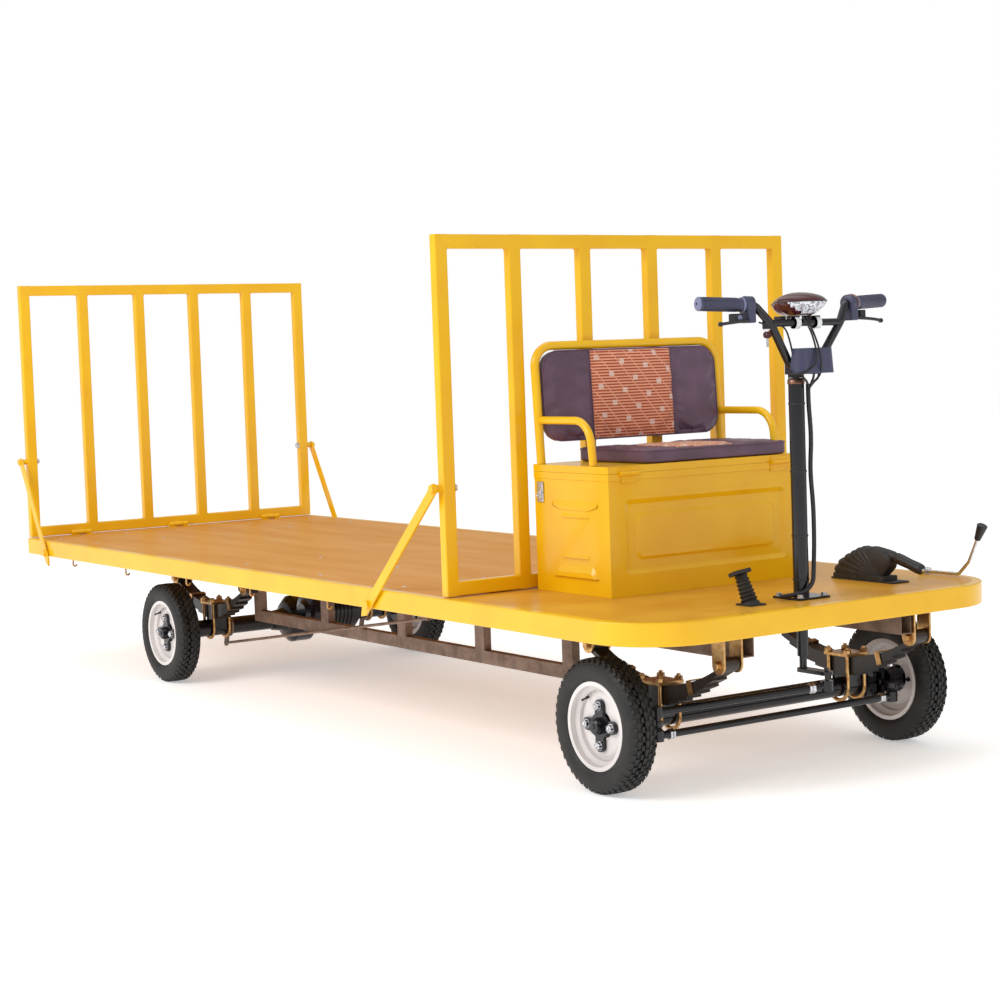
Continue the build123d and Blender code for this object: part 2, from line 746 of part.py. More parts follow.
# Stays: flat bars outside the deck, each on a bolt in the rim, with the bolt of its free end
stays = (
    ("stay_front_right", front_stay_foot_x, front_gate_x, -1),
    ("stay_front_left", front_stay_foot_x, front_gate_x, 1),
    ("stay_rear_right", rear_stay_foot_x, rear_gate_x, -1),
    ("stay_rear_left", rear_stay_foot_x, rear_gate_x, 1),
)
for name, foot_x, head_x, side in stays:
    inner_y = side * (deck_width / 2 + stay_gap)
    run = head_x - foot_x
    rise = stay_top_z - stay_foot_z
    length = hypot(run, rise)
    outer = Plane(origin=(foot_x, inner_y, stay_foot_z), x_dir=(run, 0, rise), z_dir=(0, side, 0))
    with BuildPart() as stay:
        with BuildSketch(outer):
            with Locations((length / 2, 0)):
                SlotCenterToCenter(length, stay_width)
            with BuildLine():
                Polyline(
                    (0, stay_width / 2),
                    (0, -stay_width / 2),
                    (-0.6 * stay_tip, -stay_width / 2),
                    (-stay_tip, 0),
                    (-0.6 * stay_tip, stay_width / 2),
                    close=True,
                )
            make_face()
        extrude(amount=stay_thickness)
        with BuildSketch(outer.offset(stay_thickness)):
            with Locations((0, 0), (length, 0)):
                RegularPolygon(11.0, 6, major_radius=False)
        extrude(amount=stay_bolt_head)
        with BuildSketch(outer):
            Circle(stay_bolt_r + 4.0)
        extrude(amount=-(stay_gap - 0.3))
    stay.part.label = name
    export_step(stay.part, f"parts/{name}.step")

# Steering column: base plate, outer tube and the tube under the deck
with BuildPart() as steering_column:
    with BuildSketch(Plane.XY.offset(deck_top)):
        with Locations((column_x, 0)):
            RectangleRounded(column_plate, column_plate, 6.0)
    extrude(amount=6.0)
    with BuildSketch(Plane.XY.offset(deck_top)):
        with Locations((column_x, 0)):
            Circle(column_d / 2)
    extrude(amount=column_top - deck_top)
    with BuildSketch(Plane.XY.offset(lower_tube_bottom)):
        with Locations((column_x, 0)):
            Circle(shaft_d / 2)
    extrude(amount=deck_top - lower_tube_bottom)
    with Locations((column_x, 0, lower_tube_bottom)):
        Cylinder(
            shaft_r + 0.05,
            column_top - lower_tube_bottom,
            align=(Align.CENTER, Align.CENTER, Align.MIN),
            mode=Mode.SUBTRACT,
        )
steering_column.part.label = "steering_column"
export_step(steering_column.part, "parts/steering_column.step")

# Steering shaft with the arm at its foot
clamp_block_z = column_top + 10.0
arm_top = pitman_ball_z + 38.0
arm_thickness = 10.0
pitman_x = column_x + pitman_length
with BuildPart() as steering_shaft:
    with BuildSketch(Plane.XY.offset(arm_top - arm_thickness)):
        with Locations((column_x, 0)):
            Circle(shaft_r)
    extrude(amount=clamp_block_z + 12.0 - arm_top + arm_thickness)
    with BuildSketch(Plane.XY.offset(arm_top - arm_thickness)):
        with Locations((column_x + pitman_length / 2, 0)):
            SlotCenterToCenter(pitman_length, 34.0)
    extrude(amount=arm_thickness)
    stud_low = pitman_ball_z + link_ball_height / 2 + ball_gap
    with BuildSketch(Plane.XY.offset(stud_low)):
        with Locations((pitman_x, 0)):
            Circle(ball_stud_r)
    extrude(amount=arm_top + 9.0 - stud_low)
    with BuildSketch(Plane.XY.offset(column_top + 1.0)):
        with Locations((column_x, 0)):
            Circle(column_d / 2)
    extrude(amount=clamp_block_z - column_top - 1.0)
steering_shaft.part.label = "steering_shaft"
export_step(steering_shaft.part, "parts/steering_shaft.step")

# Handlebar: risers, cross bar and grips, as offsets from the column's top
bar_points = (
    (31.0, 0.0, 34.0),
    (31.0, 48.0, 34.0),
    (43.0, 122.0, 144.0),
    (25.0, 160.0, 192.0),
    (-6.0, 322.0, 199.0),
)
clamp_half_width = 25.0
clamp_height = 36.0
clamp_rear_x = column_x - 15.0
clamp_front_x = column_x + 49.7
cross_x = column_x + bar_points[2][0]
cross_y = bar_points[2][1]
cross_z = column_top + bar_points[2][2]
meter_bottom = cross_z + 18.0
meter_clamp_y = 36.0
with BuildPart() as handlebar:
    for side in (-1, 1):
        route = [(column_x + x, side * y, column_top + z) for x, y, z in bar_points]
        with BuildLine() as bar_path:
            FilletPolyline(*route, radius=26.0)
        with BuildSketch(Plane(origin=bar_path.line @ 0, z_dir=bar_path.line % 0)):
            Circle(bar_r)
        sweep(path=bar_path.line)
        grip_dir = Vector(*route[-1]) - Vector(*route[-2])
        with BuildSketch(Plane(origin=route[-1], z_dir=grip_dir)):
            Circle(grip_r)
        extrude(amount=-grip_length)
        with Locations((cross_x, side * meter_clamp_y, cross_z)):
            Cylinder(meter_clamp_r, 16.0, rotation=(90, 0, 0))
            Box(16.0, 16.0, meter_bottom - cross_z, align=(Align.CENTER, Align.CENTER, Align.MIN))
    with Locations((cross_x, 0, cross_z)):
        Cylinder(cross_bar_r, 2 * cross_y, rotation=(90, 0, 0))
    with Locations((clamp_rear_x, 0, clamp_block_z)):
        Box(
            clamp_front_x - clamp_rear_x,
            2 * clamp_half_width,
            clamp_height,
            align=(Align.MIN, Align.CENTER, Align.MIN),
        )
    with Locations((column_x, 0, clamp_block_z)):
        Cylinder(shaft_r, 12.0, align=(Align.CENTER, Align.CENTER, Align.MIN), mode=Mode.SUBTRACT)
handlebar.part.label = "handlebar"
export_step(handlebar.part, "parts/handlebar.step")

# Cover in front of the bar clamp: a shell open behind and below
cover_rear_x = clamp_front_x + 0.3
cover_depth = 42.0
cover_width = 132.0
cover_height = 66.0
cover_wall = 3.0
cover_low = column_top + 12.0
with BuildPart() as bar_cover:
    for inset, mode in ((0.0, Mode.ADD), (cover_wall, Mode.SUBTRACT)):
        with BuildSketch(Plane.XY.offset(cover_low)):
            with Locations((cover_rear_x, 0)):
                Rectangle(cover_depth - inset, cover_width - 2 * inset, align=(Align.MIN, Align.CENTER))
            fillet(vertices().group_by(Axis.X)[-1], 30.0 - inset)
        extrude(amount=cover_height - inset, taper=4, mode=mode)
    with Locations((cover_rear_x, 0, clamp_block_z)):
        Box(cover_depth - cover_wall, 12.0, clamp_height, align=(Align.MIN, Align.CENTER, Align.MIN))
bar_cover.part.label = "bar_cover"
export_step(bar_cover.part, "parts/bar_cover.step")

# Meter and lamp: a body that narrows to its tail, domed in levels, its lens at the front
meter_half = 74.0
meter_tail = 92.0
tail_half = 14.0
meter_x = cross_x - 26.0
meter_levels = (
    # height above the clamps, how far the outline is drawn in
    (0.0, 9.0),
    (8.0, 2.0),
    (26.0, 0.0),
    (44.0, 7.0),
    (55.0, 20.0),
    (62.0, 42.0),
)
with BuildPart() as meter:
    for rise, inset in meter_levels:
        with BuildSketch(Plane.XY.offset(meter_bottom + rise)):
            with BuildLine():
                nose = CenterArc((meter_x, 0), meter_half - inset, -100, 200)
                tail = meter_x - meter_tail + inset
                narrow = tail_half * (1 - inset / meter_half)
                Polyline(nose @ 1, (tail, narrow), (tail, -narrow), nose @ 0)
            make_face()
    loft(ruled=True)
    for side in (-1, 1):
        with Locations((cross_x, side * meter_clamp_y, meter_bottom)):
            Box(20.0, 20.0, 12.0, align=(Align.CENTER, Align.CENTER, Align.MIN))
meter.part.label = "meter"
export_step(meter.part, "parts/meter.step")

# Knuckles: fork round the axle boss, kingpin, spindle and steering arm
fork_gap = 0.6
fork_wall = 12.0
upright_y = kingpin_y + kingpin_boss_r + 11.0
upright_width = 12.0
arm_z = axle_z + 0.5
ball_x = front_axle_x + pitman_length
for name, side in (("knuckle_right", -1), ("knuckle_left", 1)):
    pin_y = side * kingpin_y
    with BuildPart() as knuckle:
        for level in (1, -1):
            with BuildSketch(Plane.XY.offset(axle_z + level * (boss_height / 2 + fork_gap))):
                with Locations((front_axle_x, pin_y)):
                    Circle(kingpin_boss_r)
                with Locations((front_axle_x, side * (kingpin_y + upright_y) / 2)):
                    Rectangle(2 * kingpin_boss_r, upright_y - kingpin_y + upright_width)
            extrude(amount=level * fork_wall)
        with Locations((front_axle_x, side * upright_y, axle_z)):
            Box(2 * kingpin_boss_r, upright_width, boss_height + 2 * (fork_gap + fork_wall))
        with Locations((front_axle_x, pin_y, axle_z)):
            Cylinder(kingpin_r, boss_height + 2 * (fork_gap + fork_wall) + 12.0)
        spindle_start = side * upright_y
        with BuildSketch(Plane.XZ.offset(-spindle_start)):
            with Locations((front_axle_x, axle_z)):
                Circle(spindle_r)
        extrude(amount=-side * (wheel_y + spindle_reach - upright_y))
        root = Vector(front_axle_x + 31.0, side * (kingpin_y + 32.0), 0)
        tip = Vector(ball_x, pin_y, 0)
        reach = (tip - root).length
        arm_middle = (root + tip) * 0.5
        arm_plane = Plane(origin=(arm_middle.X, arm_middle.Y, arm_z), x_dir=tip - root, z_dir=(0, 0, 1))
        with BuildSketch(arm_plane.offset(-7.0)):
            SlotCenterToCenter(reach, 28.0)
        extrude(amount=14.0)
        studs = [(tie_rod_z + link_ball_height / 2 + ball_gap, arm_z)]
        if side < 0:
            studs.append((arm_z, link_z - link_ball_height / 2 - ball_gap))
        for low, high in studs:
            with BuildSketch(Plane.XY.offset(low)):
                with Locations((ball_x, pin_y)):
                    Circle(ball_stud_r)
            extrude(amount=high - low)
    knuckle.part.label = name
    export_step(knuckle.part, f"parts/{name}.step")

# Tie rod and drag link with a ball joint at each end
with BuildPart() as tie_rod:
    with BuildSketch(Plane.XZ.offset(-kingpin_y)):
        with Locations((ball_x, tie_rod_z)):
            Circle(tie_rod_d / 2)
    extrude(amount=2 * kingpin_y)
    with Locations(*[(ball_x, side * kingpin_y, tie_rod_z) for side in (-1, 1)]):
        Cylinder(link_ball_r, link_ball_height)
tie_rod.part.label = "tie_rod"
export_step(tie_rod.part, "parts/tie_rod.step")

with BuildPart() as drag_link:
    start = Vector(pitman_x, 0, pitman_ball_z)
    end = Vector(ball_x, -kingpin_y, link_z)
    with BuildSketch(Plane(origin=start, z_dir=end - start)):
        Circle(drag_link_d / 2)
    extrude(amount=(end - start).length)
    with Locations(start, end):
        Cylinder(link_ball_r, link_ball_height)
drag_link.part.label = "drag_link"
export_step(drag_link.part, "parts/drag_link.step")

# Tyre about its own centre, in flats: half of it in tapered steps, then mirrored
tyre_flats = 80
bead_half = 26.0
bead_gap = 0.3
bead_r = bead_seat_r + bead_gap
side_r = rim_r + 24.0
shoulder_r = tyre_r - 12.0
tread_steps = (
    # distance from the middle plane, radius
    (0.0, tyre_r),
    (tyre_width / 2 - 21, tyre_r),
    (tyre_width / 2 - 7, shoulder_r),
    (tyre_width / 2, side_r),
)
turn_half = 180.0 / tyre_flats
with BuildPart() as tyre_shape:
    for (start, start_r), (end, end_r) in zip(tread_steps, tread_steps[1:]):
        with BuildSketch(Plane.XZ.offset(-start)):
            RegularPolygon(start_r, tyre_flats, major_radius=False, rotation=turn_half)
        extrude(amount=start - end, taper=degrees(atan2(start_r - end_r, end - start)))
    with BuildSketch(Plane.XZ):
        RegularPolygon(bead_r, tyre_flats, major_radius=False, rotation=turn_half)
    extrude(amount=-bead_half, mode=Mode.SUBTRACT)
    with BuildSketch(Plane.XZ.offset(-bead_half)):
        RegularPolygon(bead_r, tyre_flats, major_radius=False, rotation=turn_half)
    sidewall_slope = degrees(atan2(side_r - bead_r, tyre_width / 2 - bead_half))
    extrude(amount=bead_half - tyre_width / 2 - 1.0, taper=-sidewall_slope, mode=Mode.SUBTRACT)
    mirror(about=Plane.XZ)

# Wheels: the tyre, a drop-centre rim with its dish, and a hub with four arms and nuts
dish_y = 6.0
star_y = dish_y + rim_sheet + sheet_gap
star_thickness = 10.0
arm_count = 4
arm_width = 34.0
nut_height = 9.0
wheels = (
    ("front_right", front_axle_x, -1),
    ("front_left", front_axle_x, 1),
    ("rear_right", rear_axle_x, -1),
    ("rear_left", rear_axle_x, 1),
)
for name, axle, side in wheels:
    section = Plane(origin=(axle, side * wheel_y, axle_z), x_dir=(0, side, 0), z_dir=(1, 0, 0))
    face_plane = Plane(origin=(axle, side * wheel_y, axle_z), x_dir=(1, 0, 0), z_dir=(0, side, 0))
    up = 1 if section.y_dir.Z > 0 else -1
    turn_axis = Axis((axle, side * wheel_y, axle_z), (0, 1, 0))
    with BuildPart() as tyre:
        with Locations((axle, side * wheel_y, axle_z)):
            add(tyre_shape.part)
    tyre.part.label = f"tyre_{name}"
    export_step(tyre.part, f"parts/tyre_{name}.step")

    lip = rim_width / 2
    seat_low = bead_seat_r - rim_sheet
    well_low = rim_well_r - rim_sheet
    half_rim = (
        # outer skin from the middle to the lip, then the inner skin back to the middle
        (11.0, rim_well_r),
        (17.0, bead_seat_r),
        (lip - rim_sheet, bead_seat_r),
        (lip - rim_sheet, rim_r),
        (lip, rim_r),
        (lip, seat_low),
        (19.0, seat_low),
        (13.0, well_low),
    )
    nut_places = [
        (nut_circle_r * cos(turn), nut_circle_r * sin(turn))
        for turn in [radians(360.0 / arm_count * arm) for arm in range(arm_count)]
    ]
    with BuildPart() as wheel:
        with BuildSketch(section):
            with BuildLine():
                near_half = [(y, up * r) for y, r in half_rim]
                far_half = [(-y, up * r) for y, r in reversed(half_rim)]
                Polyline(*near_half, *far_half, close=True)
            make_face()
            with BuildLine():
                Polyline(
                    (-2.0, up * (well_low + 1)),
                    (3.0, up * (well_low + 1)),
                    (dish_y + rim_sheet, up * (hub_disc_r + 8)),
                    (dish_y + rim_sheet, up * dish_bore_r),
                    (dish_y, up * dish_bore_r),
                    (dish_y, up * (hub_disc_r + 6)),
                    close=True,
                )
            make_face()
        revolve(axis=turn_axis)
        with BuildSketch(face_plane.offset(dish_y)):
            with Locations(*nut_places):
                Circle(stud_r + sheet_gap)
        extrude(amount=rim_sheet, mode=Mode.SUBTRACT)
    wheel.part.label = f"wheel_{name}"
    export_step(wheel.part, f"parts/wheel_{name}.step")

    with BuildPart() as hub:
        with BuildSketch(face_plane.offset(-hub_inner)):
            Circle(hub_inner_r)
        extrude(amount=hub_inner + dish_y - sheet_gap)
        with BuildSketch(face_plane):
            Circle(hub_r)
        extrude(amount=star_y + star_thickness + 14.0)
        with BuildSketch(face_plane.offset(star_y)):
            Circle(hub_inner_r)
            for place in nut_places:
                reach = Vector(*place)
                with Locations(Location((reach.X / 2, reach.Y / 2), degrees(atan2(reach.Y, reach.X)))):
                    Rectangle(nut_circle_r, arm_width)
            with Locations(*nut_places):
                Circle(arm_width / 2)
        extrude(amount=star_thickness)
        with BuildSketch(face_plane):
            with Locations(*nut_places):
                Circle(stud_r)
        extrude(amount=star_y + star_thickness + nut_height + 4.0)
        with BuildSketch(face_plane.offset(star_y + star_thickness)):
            with Locations(*nut_places):
                RegularPolygon(nut_width / 2, 6, major_radius=False)
        extrude(amount=nut_height)
        with BuildSketch(face_plane.offset(-hub_inner)):
            Circle(hub_bore_r)
        extrude(amount=hub_inner + spindle_reach + 2.0, mode=Mode.SUBTRACT)
    hub.part.label = f"hub_{name}"
    export_step(hub.part, f"parts/hub_{name}.step")

# Handbrake: pleated boot on its plate, and the lever's grip
handbrake_x = 1698.0
handbrake_y = 395.0
pleat_count = 6
boot_lengths = (246.0, 104.0)
boot_widths = (62.0, 44.0)
boot_height = 88.0
boot_shift = 52.0
with BuildPart() as handbrake:
    with BuildSketch(Plane.XY.offset(deck_top)):
        with Locations((handbrake_x, handbrake_y)):
            RectangleRounded(252.0, 66.0, 8.0)
    extrude(amount=4.0)
    for pleat in range(pleat_count):
        rise = (pleat + 0.5) / pleat_count
        length = boot_lengths[0] + rise * (boot_lengths[1] - boot_lengths[0])
        width = boot_widths[0] + rise * (boot_widths[1] - boot_widths[0])
        for way in (-1, 1):
            with BuildSketch(Plane.XY.offset(deck_top + 4.0 + rise * boot_height)):
                with Locations((handbrake_x + rise * boot_shift, handbrake_y)):
                    RectangleRounded(length, width, 12.0)
            extrude(amount=way * (boot_height / pleat_count / 2 + 0.5), taper=38)
    with BuildSketch(Plane(origin=(1768.0, handbrake_y, 556.0), z_dir=(99.0, 0, -29.0))):
        Circle(15.0)
    extrude(amount=140.0)
handbrake.part.label = "handbrake"
export_step(handbrake.part, "parts/handbrake.step")

# Brake pedal: bellows that lean back, with the pad on top
pedal_foot = Vector(1862.0, -190.0, deck_top)
pedal_lean = Plane(origin=pedal_foot, z_dir=(-32.0, -10.0, 90.0))
bellows_height = 84.0
ring_count = 8
ring_depth = 4.5
bellows = []
for ring in range(ring_count):
    rise = (ring + 0.5) / ring_count
    ring_r = 24.0 - 6.0 * rise
    bellows.append((ring_r, rise * bellows_height))
    bellows.append((ring_r - ring_depth, (ring + 1) / ring_count * bellows_height))
with BuildPart() as brake_pedal:
    with BuildSketch(Plane.XY.offset(deck_top)):
        with Locations((pedal_foot.X, pedal_foot.Y)):
            RectangleRounded(62.0, 56.0, 6.0)
    extrude(amount=4.0)
    with BuildSketch(Plane(origin=pedal_foot, x_dir=pedal_lean.x_dir, z_dir=-pedal_lean.y_dir)):
        with BuildLine():
            Polyline((0, -14.0), (28.0, -14.0), *bellows, (0, bellows_height), close=True)
        make_face()
    revolve(axis=Axis(pedal_foot, pedal_lean.z_dir))
    with BuildSketch(pedal_lean.offset(bellows_height)):
        RectangleRounded(36.0, 58.0, 8.0)
    extrude(amount=10.0)
    split(bisect_by=Plane.XY.offset(deck_top), keep=Keep.TOP)
brake_pedal.part.label = "brake_pedal"
export_step(brake_pedal.part, "parts/brake_pedal.step")

# Shift lever: rod along the deck that bends up to its knob
lever_y = 600.0
with BuildPart() as shift_lever:
    with BuildLine() as lever_path:
        FilletPolyline(
            (1712.0, lever_y, deck_top + 9.0),
            (1842.0, lever_y, deck_top + 9.0),
            (1882.0, lever_y, deck_top + 46.0),
            (1914.0, lever_y, deck_top + 110.0),
            radius=14.0,
        )
    with BuildSketch(Plane(origin=lever_path.line @ 0, z_dir=lever_path.line % 0)):
        Circle(5.0)
    sweep(path=lever_path.line)
    with Locations((1712.0, lever_y, deck_top)):
        Box(24.0, 30.0, 18.0, align=(Align.CENTER, Align.CENTER, Align.MIN))
    with BuildSketch(Plane(origin=lever_path.line @ 1, z_dir=lever_path.line % 1)):
        Circle(8.0)
    extrude(amount=44.0, taper=-8)
shift_lever.part.label = "shift_lever"
export_step(shift_lever.part, "parts/shift_lever.step")

# Brake rods outside the trusses, each from a lever on the axle forward to a tab on the rail
rod_r = 5.0
lever_y = 289.0
rod_rear = (rear_axle_x - 23.0, lever_y, 112.0)
rod_front = (541.0, 360.0, 341.0)
tab_reach = rod_front[1] + rod_r - rail_y + rail_width / 2
with BuildPart() as brake_rods:
    for side in (-1, 1):
        start = Vector(rod_rear[0], side * rod_rear[1], rod_rear[2])
        end = Vector(rod_front[0], side * rod_front[1], rod_front[2])
        with BuildSketch(Plane(origin=start, z_dir=end - start)):
            Circle(rod_r)
        extrude(amount=(end - start).length)
        inward = Align.MIN if side > 0 else Align.MAX
        with Locations((end.X, side * (rail_y - rail_width / 2), rail_bottom)):
            Box(30.0, tab_reach, 5.0, align=(Align.CENTER, inward, Align.MAX))
        with Locations((end.X, end.Y, rail_bottom)):
            Box(30.0, 2 * rod_r, rail_bottom - end.Z + rod_r, align=(Align.CENTER, Align.CENTER, Align.MAX))
        drop = Vector(start.X - rear_axle_x, 0, start.Z - axle_z)
        lever = Plane(origin=(rear_axle_x, start.Y, axle_z), x_dir=drop, z_dir=(0, side, 0))
        with BuildSketch(lever.offset(-4.0)):
            Circle(rear_tube_d / 2 + 8.0)
            with Locations((drop.length / 2, 0)):
                SlotCenterToCenter(drop.length, 22.0)
            Circle(rear_tube_d / 2, mode=Mode.SUBTRACT)
        extrude(amount=8.0)
brake_rods.part.label = "brake_rods"
export_step(brake_rods.part, "parts/brake_rods.step")

# Rope hooks under the rim on both sides
hook_places = (-1560.0, -1070.0, -565.0, -90.0, 420.0)
with BuildPart() as rope_hooks:
    for x in hook_places:
        for side in (-1, 1):
            hook_y = side * (deck_width / 2 - 16.0)
            with BuildLine(Plane.YZ.offset(x)) as hook_path:
                Line((hook_y, rim_bottom), (hook_y, rim_bottom - 19.0))
                ThreePointArc(
                    (hook_y, rim_bottom - 19.0),
                    (hook_y - side * 7.0, rim_bottom - 26.0),
                    (hook_y - side * 14.0, rim_bottom - 19.0),
                )
            with BuildSketch(Plane(origin=hook_path.line @ 0, z_dir=hook_path.line % 0)):
                Circle(3.0)
            sweep(path=hook_path.line)
rope_hooks.part.label = "rope_hooks"
export_step(rope_hooks.part, "parts/rope_hooks.step")

# Cable tied along the column
cable_r = 6.0
cable_route = (
    (1865.0, 25.5, 1040.0),
    (1865.0, 25.5, 989.0),
    (1868.0, 30.0, 900.0),
    (1864.5, 25.5, 810.0),
    (1868.0, 31.0, 720.0),
    (1868.0, 31.0, 620.0),
    (1866.0, 28.0, 545.0),
    (1880.0, 12.0, 515.0),
    (1882.0, -20.0, 494.0),
    (1868.0, -50.0, 488.0),
    (1848.0, -76.0, 484.0),
)
corner_radii = []
for before, corner, after in zip(cable_route, cable_route[1:], cable_route[2:]):
    run_in = Vector(*corner) - Vector(*before)
    run_out = Vector(*after) - Vector(*corner)
    turn = radians(run_in.get_angle(run_out))
    corner_radii.append(0.45 * min(run_in.length, run_out.length) / tan(turn / 2))
print("column cable radii", [round(radius) for radius in corner_radii])
with BuildPart() as column_cable:
    with BuildLine() as cable_path:
        FilletPolyline(*cable_route, radius=corner_radii)
    with BuildSketch(Plane(origin=cable_path.line @ 0, z_dir=cable_path.line % 0)):
        Circle(cable_r)
    sweep(path=cable_path.line)
column_cable.part.label = "column_cable"
export_step(column_cable.part, "parts/column_cable.step")
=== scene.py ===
import bpy
import json
import math
import numpy as np
from mathutils import Matrix, Vector
from mathutils.bvhtree import BVHTree


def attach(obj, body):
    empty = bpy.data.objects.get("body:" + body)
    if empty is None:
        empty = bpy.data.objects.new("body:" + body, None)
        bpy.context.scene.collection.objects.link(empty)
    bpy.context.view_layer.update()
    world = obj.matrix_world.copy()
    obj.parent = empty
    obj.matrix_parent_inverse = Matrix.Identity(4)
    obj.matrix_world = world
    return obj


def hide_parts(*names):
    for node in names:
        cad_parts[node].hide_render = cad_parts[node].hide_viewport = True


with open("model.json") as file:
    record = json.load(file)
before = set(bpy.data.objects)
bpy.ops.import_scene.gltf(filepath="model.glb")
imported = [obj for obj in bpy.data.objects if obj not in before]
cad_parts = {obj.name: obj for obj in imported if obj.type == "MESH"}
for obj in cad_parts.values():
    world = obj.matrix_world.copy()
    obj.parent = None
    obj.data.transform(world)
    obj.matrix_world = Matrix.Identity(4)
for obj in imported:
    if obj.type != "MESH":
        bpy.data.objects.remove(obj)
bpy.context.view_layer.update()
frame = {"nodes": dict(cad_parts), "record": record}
nodes = frame["nodes"]
mm = 0.001


def report(text):
    print("truck:", text)


def unit(vector):
    vector = np.asarray(vector, float)
    return vector / np.linalg.norm(vector)


def addObject(name, data):
    thing = bpy.data.objects.new(name, data)
    bpy.context.scene.collection.objects.link(thing)
    return thing


def facing(place, right, up, back):
    # The matrix that puts a thing at a place, from the directions of its own three axes.
    return Matrix.Translation(place) @ Matrix(np.column_stack([right, up, back]).tolist()).to_4x4()


# Camera, solved from the straight edges of the deck, gates and bench
cameraSettings = {
    "place": (5.8776, -3.6804, 1.1462),
    "yaw": 2.5386,
    "pitch": -0.0648,
    "roll": -0.0344,
    "lensMm": 73.95,
    "sensorMm": 36,
    "shift": (-0.016, -0.0134),
    "clipEnd": 100,
}


def makeCamera(settings):
    # Looks along yaw and pitch, then turns about its own axis by roll.
    yaw, pitch, roll = settings["yaw"], settings["pitch"], settings["roll"]
    ahead = np.array([math.cos(pitch) * math.cos(yaw), math.cos(pitch) * math.sin(yaw), math.sin(pitch)])
    level = unit(np.cross(ahead, [0, 0, 1]))
    above = np.cross(level, ahead)
    right = level * math.cos(roll) + above * math.sin(roll)
    up = -level * math.sin(roll) + above * math.cos(roll)
    data = bpy.data.cameras.new("camera")
    data.lens = settings["lensMm"]
    data.sensor_width = settings["sensorMm"]
    data.shift_x, data.shift_y = settings["shift"]
    data.clip_end = settings["clipEnd"]
    camera = addObject("camera", data)
    camera.matrix_world = facing(settings["place"], right, up, -ahead)
    bpy.context.scene.camera = camera


makeCamera(cameraSettings)

# Studio: pale floor, white surroundings and three soft lights
studioSettings = {
    "floorSize": 60.0,
    "floorColour": "#fdfdfd",
    "floorRoughness": 0.9,
    "floorGlow": 0.4,
    "skyColour": "#ffffff",
    "skyFill": 0.62,
    "lights": (
        # name, place, aim, width, height, watts
        ("key", (0.5, -6.0, 4.4), (0.0, 0.0, 0.6), 4.5, 2.6, 230),
        ("fill", (7.5, 1.5, 3.2), (1.2, 0.0, 0.7), 3.5, 2.5, 40),
        ("top", (-0.5, 0.5, 5.5), (-0.5, 0.0, 0.4), 6.0, 3.0, 60),
    ),
}


def linear(hexColour):
    # sRGB hex to linear: each channel over 12.92 when dark, else the 2.4 power curve.
    channels = np.array([int(hexColour[i:i + 2], 16) for i in (1, 3, 5)]) / 255
    values = np.where(channels <= 0.04045, channels / 12.92, ((channels + 0.055) / 1.055) ** 2.4)
    return (*[float(v) for v in values], 1.0)


def addNode(tree, kind, inputs=None, **settings):
    # One node: settings are its properties, inputs its sockets' values or the outputs that feed them.
    node = tree.nodes.new("ShaderNode" + kind)
    for key, value in settings.items():
        setattr(node, key, value)
    for key, value in (inputs or {}).items():
        if isinstance(value, bpy.types.NodeSocket):
            tree.links.new(value, node.inputs[key])
        else:
            node.inputs[key].default_value = value
    return node


def startMaterial(name, colour, roughness, metallic=0.0, **sockets):
    # A material with its even values on the shader, and the object's own coordinates for patterns.
    material = bpy.data.materials.new(name)
    material.use_nodes = True
    tree = material.node_tree
    shader = tree.nodes["Principled BSDF"]
    shader.inputs["Base Color"].default_value = linear(colour)
    shader.inputs["Roughness"].default_value = roughness
    shader.inputs["Metallic"].default_value = metallic
    for key, value in sockets.items():
        shader.inputs[key.replace("_", " ")].default_value = value
    place = addNode(tree, "TexCoord").outputs["Object"]
    return material, tree, shader, place


def makeStudio(settings):
    half = settings["floorSize"] / 2
    corners = [(-half, -half, 0), (half, -half, 0), (half, half, 0), (-half, half, 0)]
    mesh = bpy.data.meshes.new("floor")
    mesh.from_pydata(corners, [], [(0, 1, 2, 3)])
    glow = {"Emission_Color": linear(settings["floorColour"]), "Emission_Strength": settings["floorGlow"]}
    paper = startMaterial("paperSweep", settings["floorColour"], settings["floorRoughness"], **glow)
    mesh.materials.append(paper[0])
    floor = addObject("floor", mesh)
    world = bpy.data.worlds.new("whiteRoom")
    bpy.context.scene.world = world
    world.use_nodes = True
    sky = world.node_tree.nodes["Background"]
    sky.inputs["Color"].default_value = linear(settings["skyColour"])
    # The surroundings look white, and light the truck a little less than that.
    seen = addNode(world.node_tree, "LightPath").outputs["Is Camera Ray"]
    strength = addNode(world.node_tree, "MapRange", {"Value": seen, "To Min": settings["skyFill"]})
    world.node_tree.links.new(strength.outputs["Result"], sky.inputs["Strength"])
    for name, place, aim, width, height, watts in settings["lights"]:
        data = bpy.data.lights.new(name, "AREA")
        data.shape = "RECTANGLE"
        data.size, data.size_y = width, height
        data.energy = watts
        back = unit(np.subtract(place, aim))
        side = unit(np.cross([0, 0, 1], back))
        addObject(name, data).matrix_world = facing(place, side, np.cross(back, side), back)


makeStudio(studioSettings)
bpy.context.scene.view_settings.view_transform = "Standard"
report("camera and studio")

# Materials


def grain(tree, place, sizeMm, detail=3.0, rough=0.55, stretch=(1, 1, 1)):
    # Noise whose lumps are about sizeMm across, drawn out along an axis by stretch.
    drawn = addNode(tree, "Mapping", {"Vector": place, "Scale": stretch}).outputs["Vector"]
    inputs = {"Vector": drawn, "Scale": 1 / (sizeMm * mm), "Detail": detail, "Roughness": rough}
    return addNode(tree, "TexNoise", inputs).outputs["Fac"]


def cells(tree, place, sizeMm):
    # Cells about sizeMm across, each with its own tone and its distance from the cell's middle.
    return addNode(tree, "TexVoronoi", {"Vector": place, "Scale": 1 / (sizeMm * mm)}).outputs


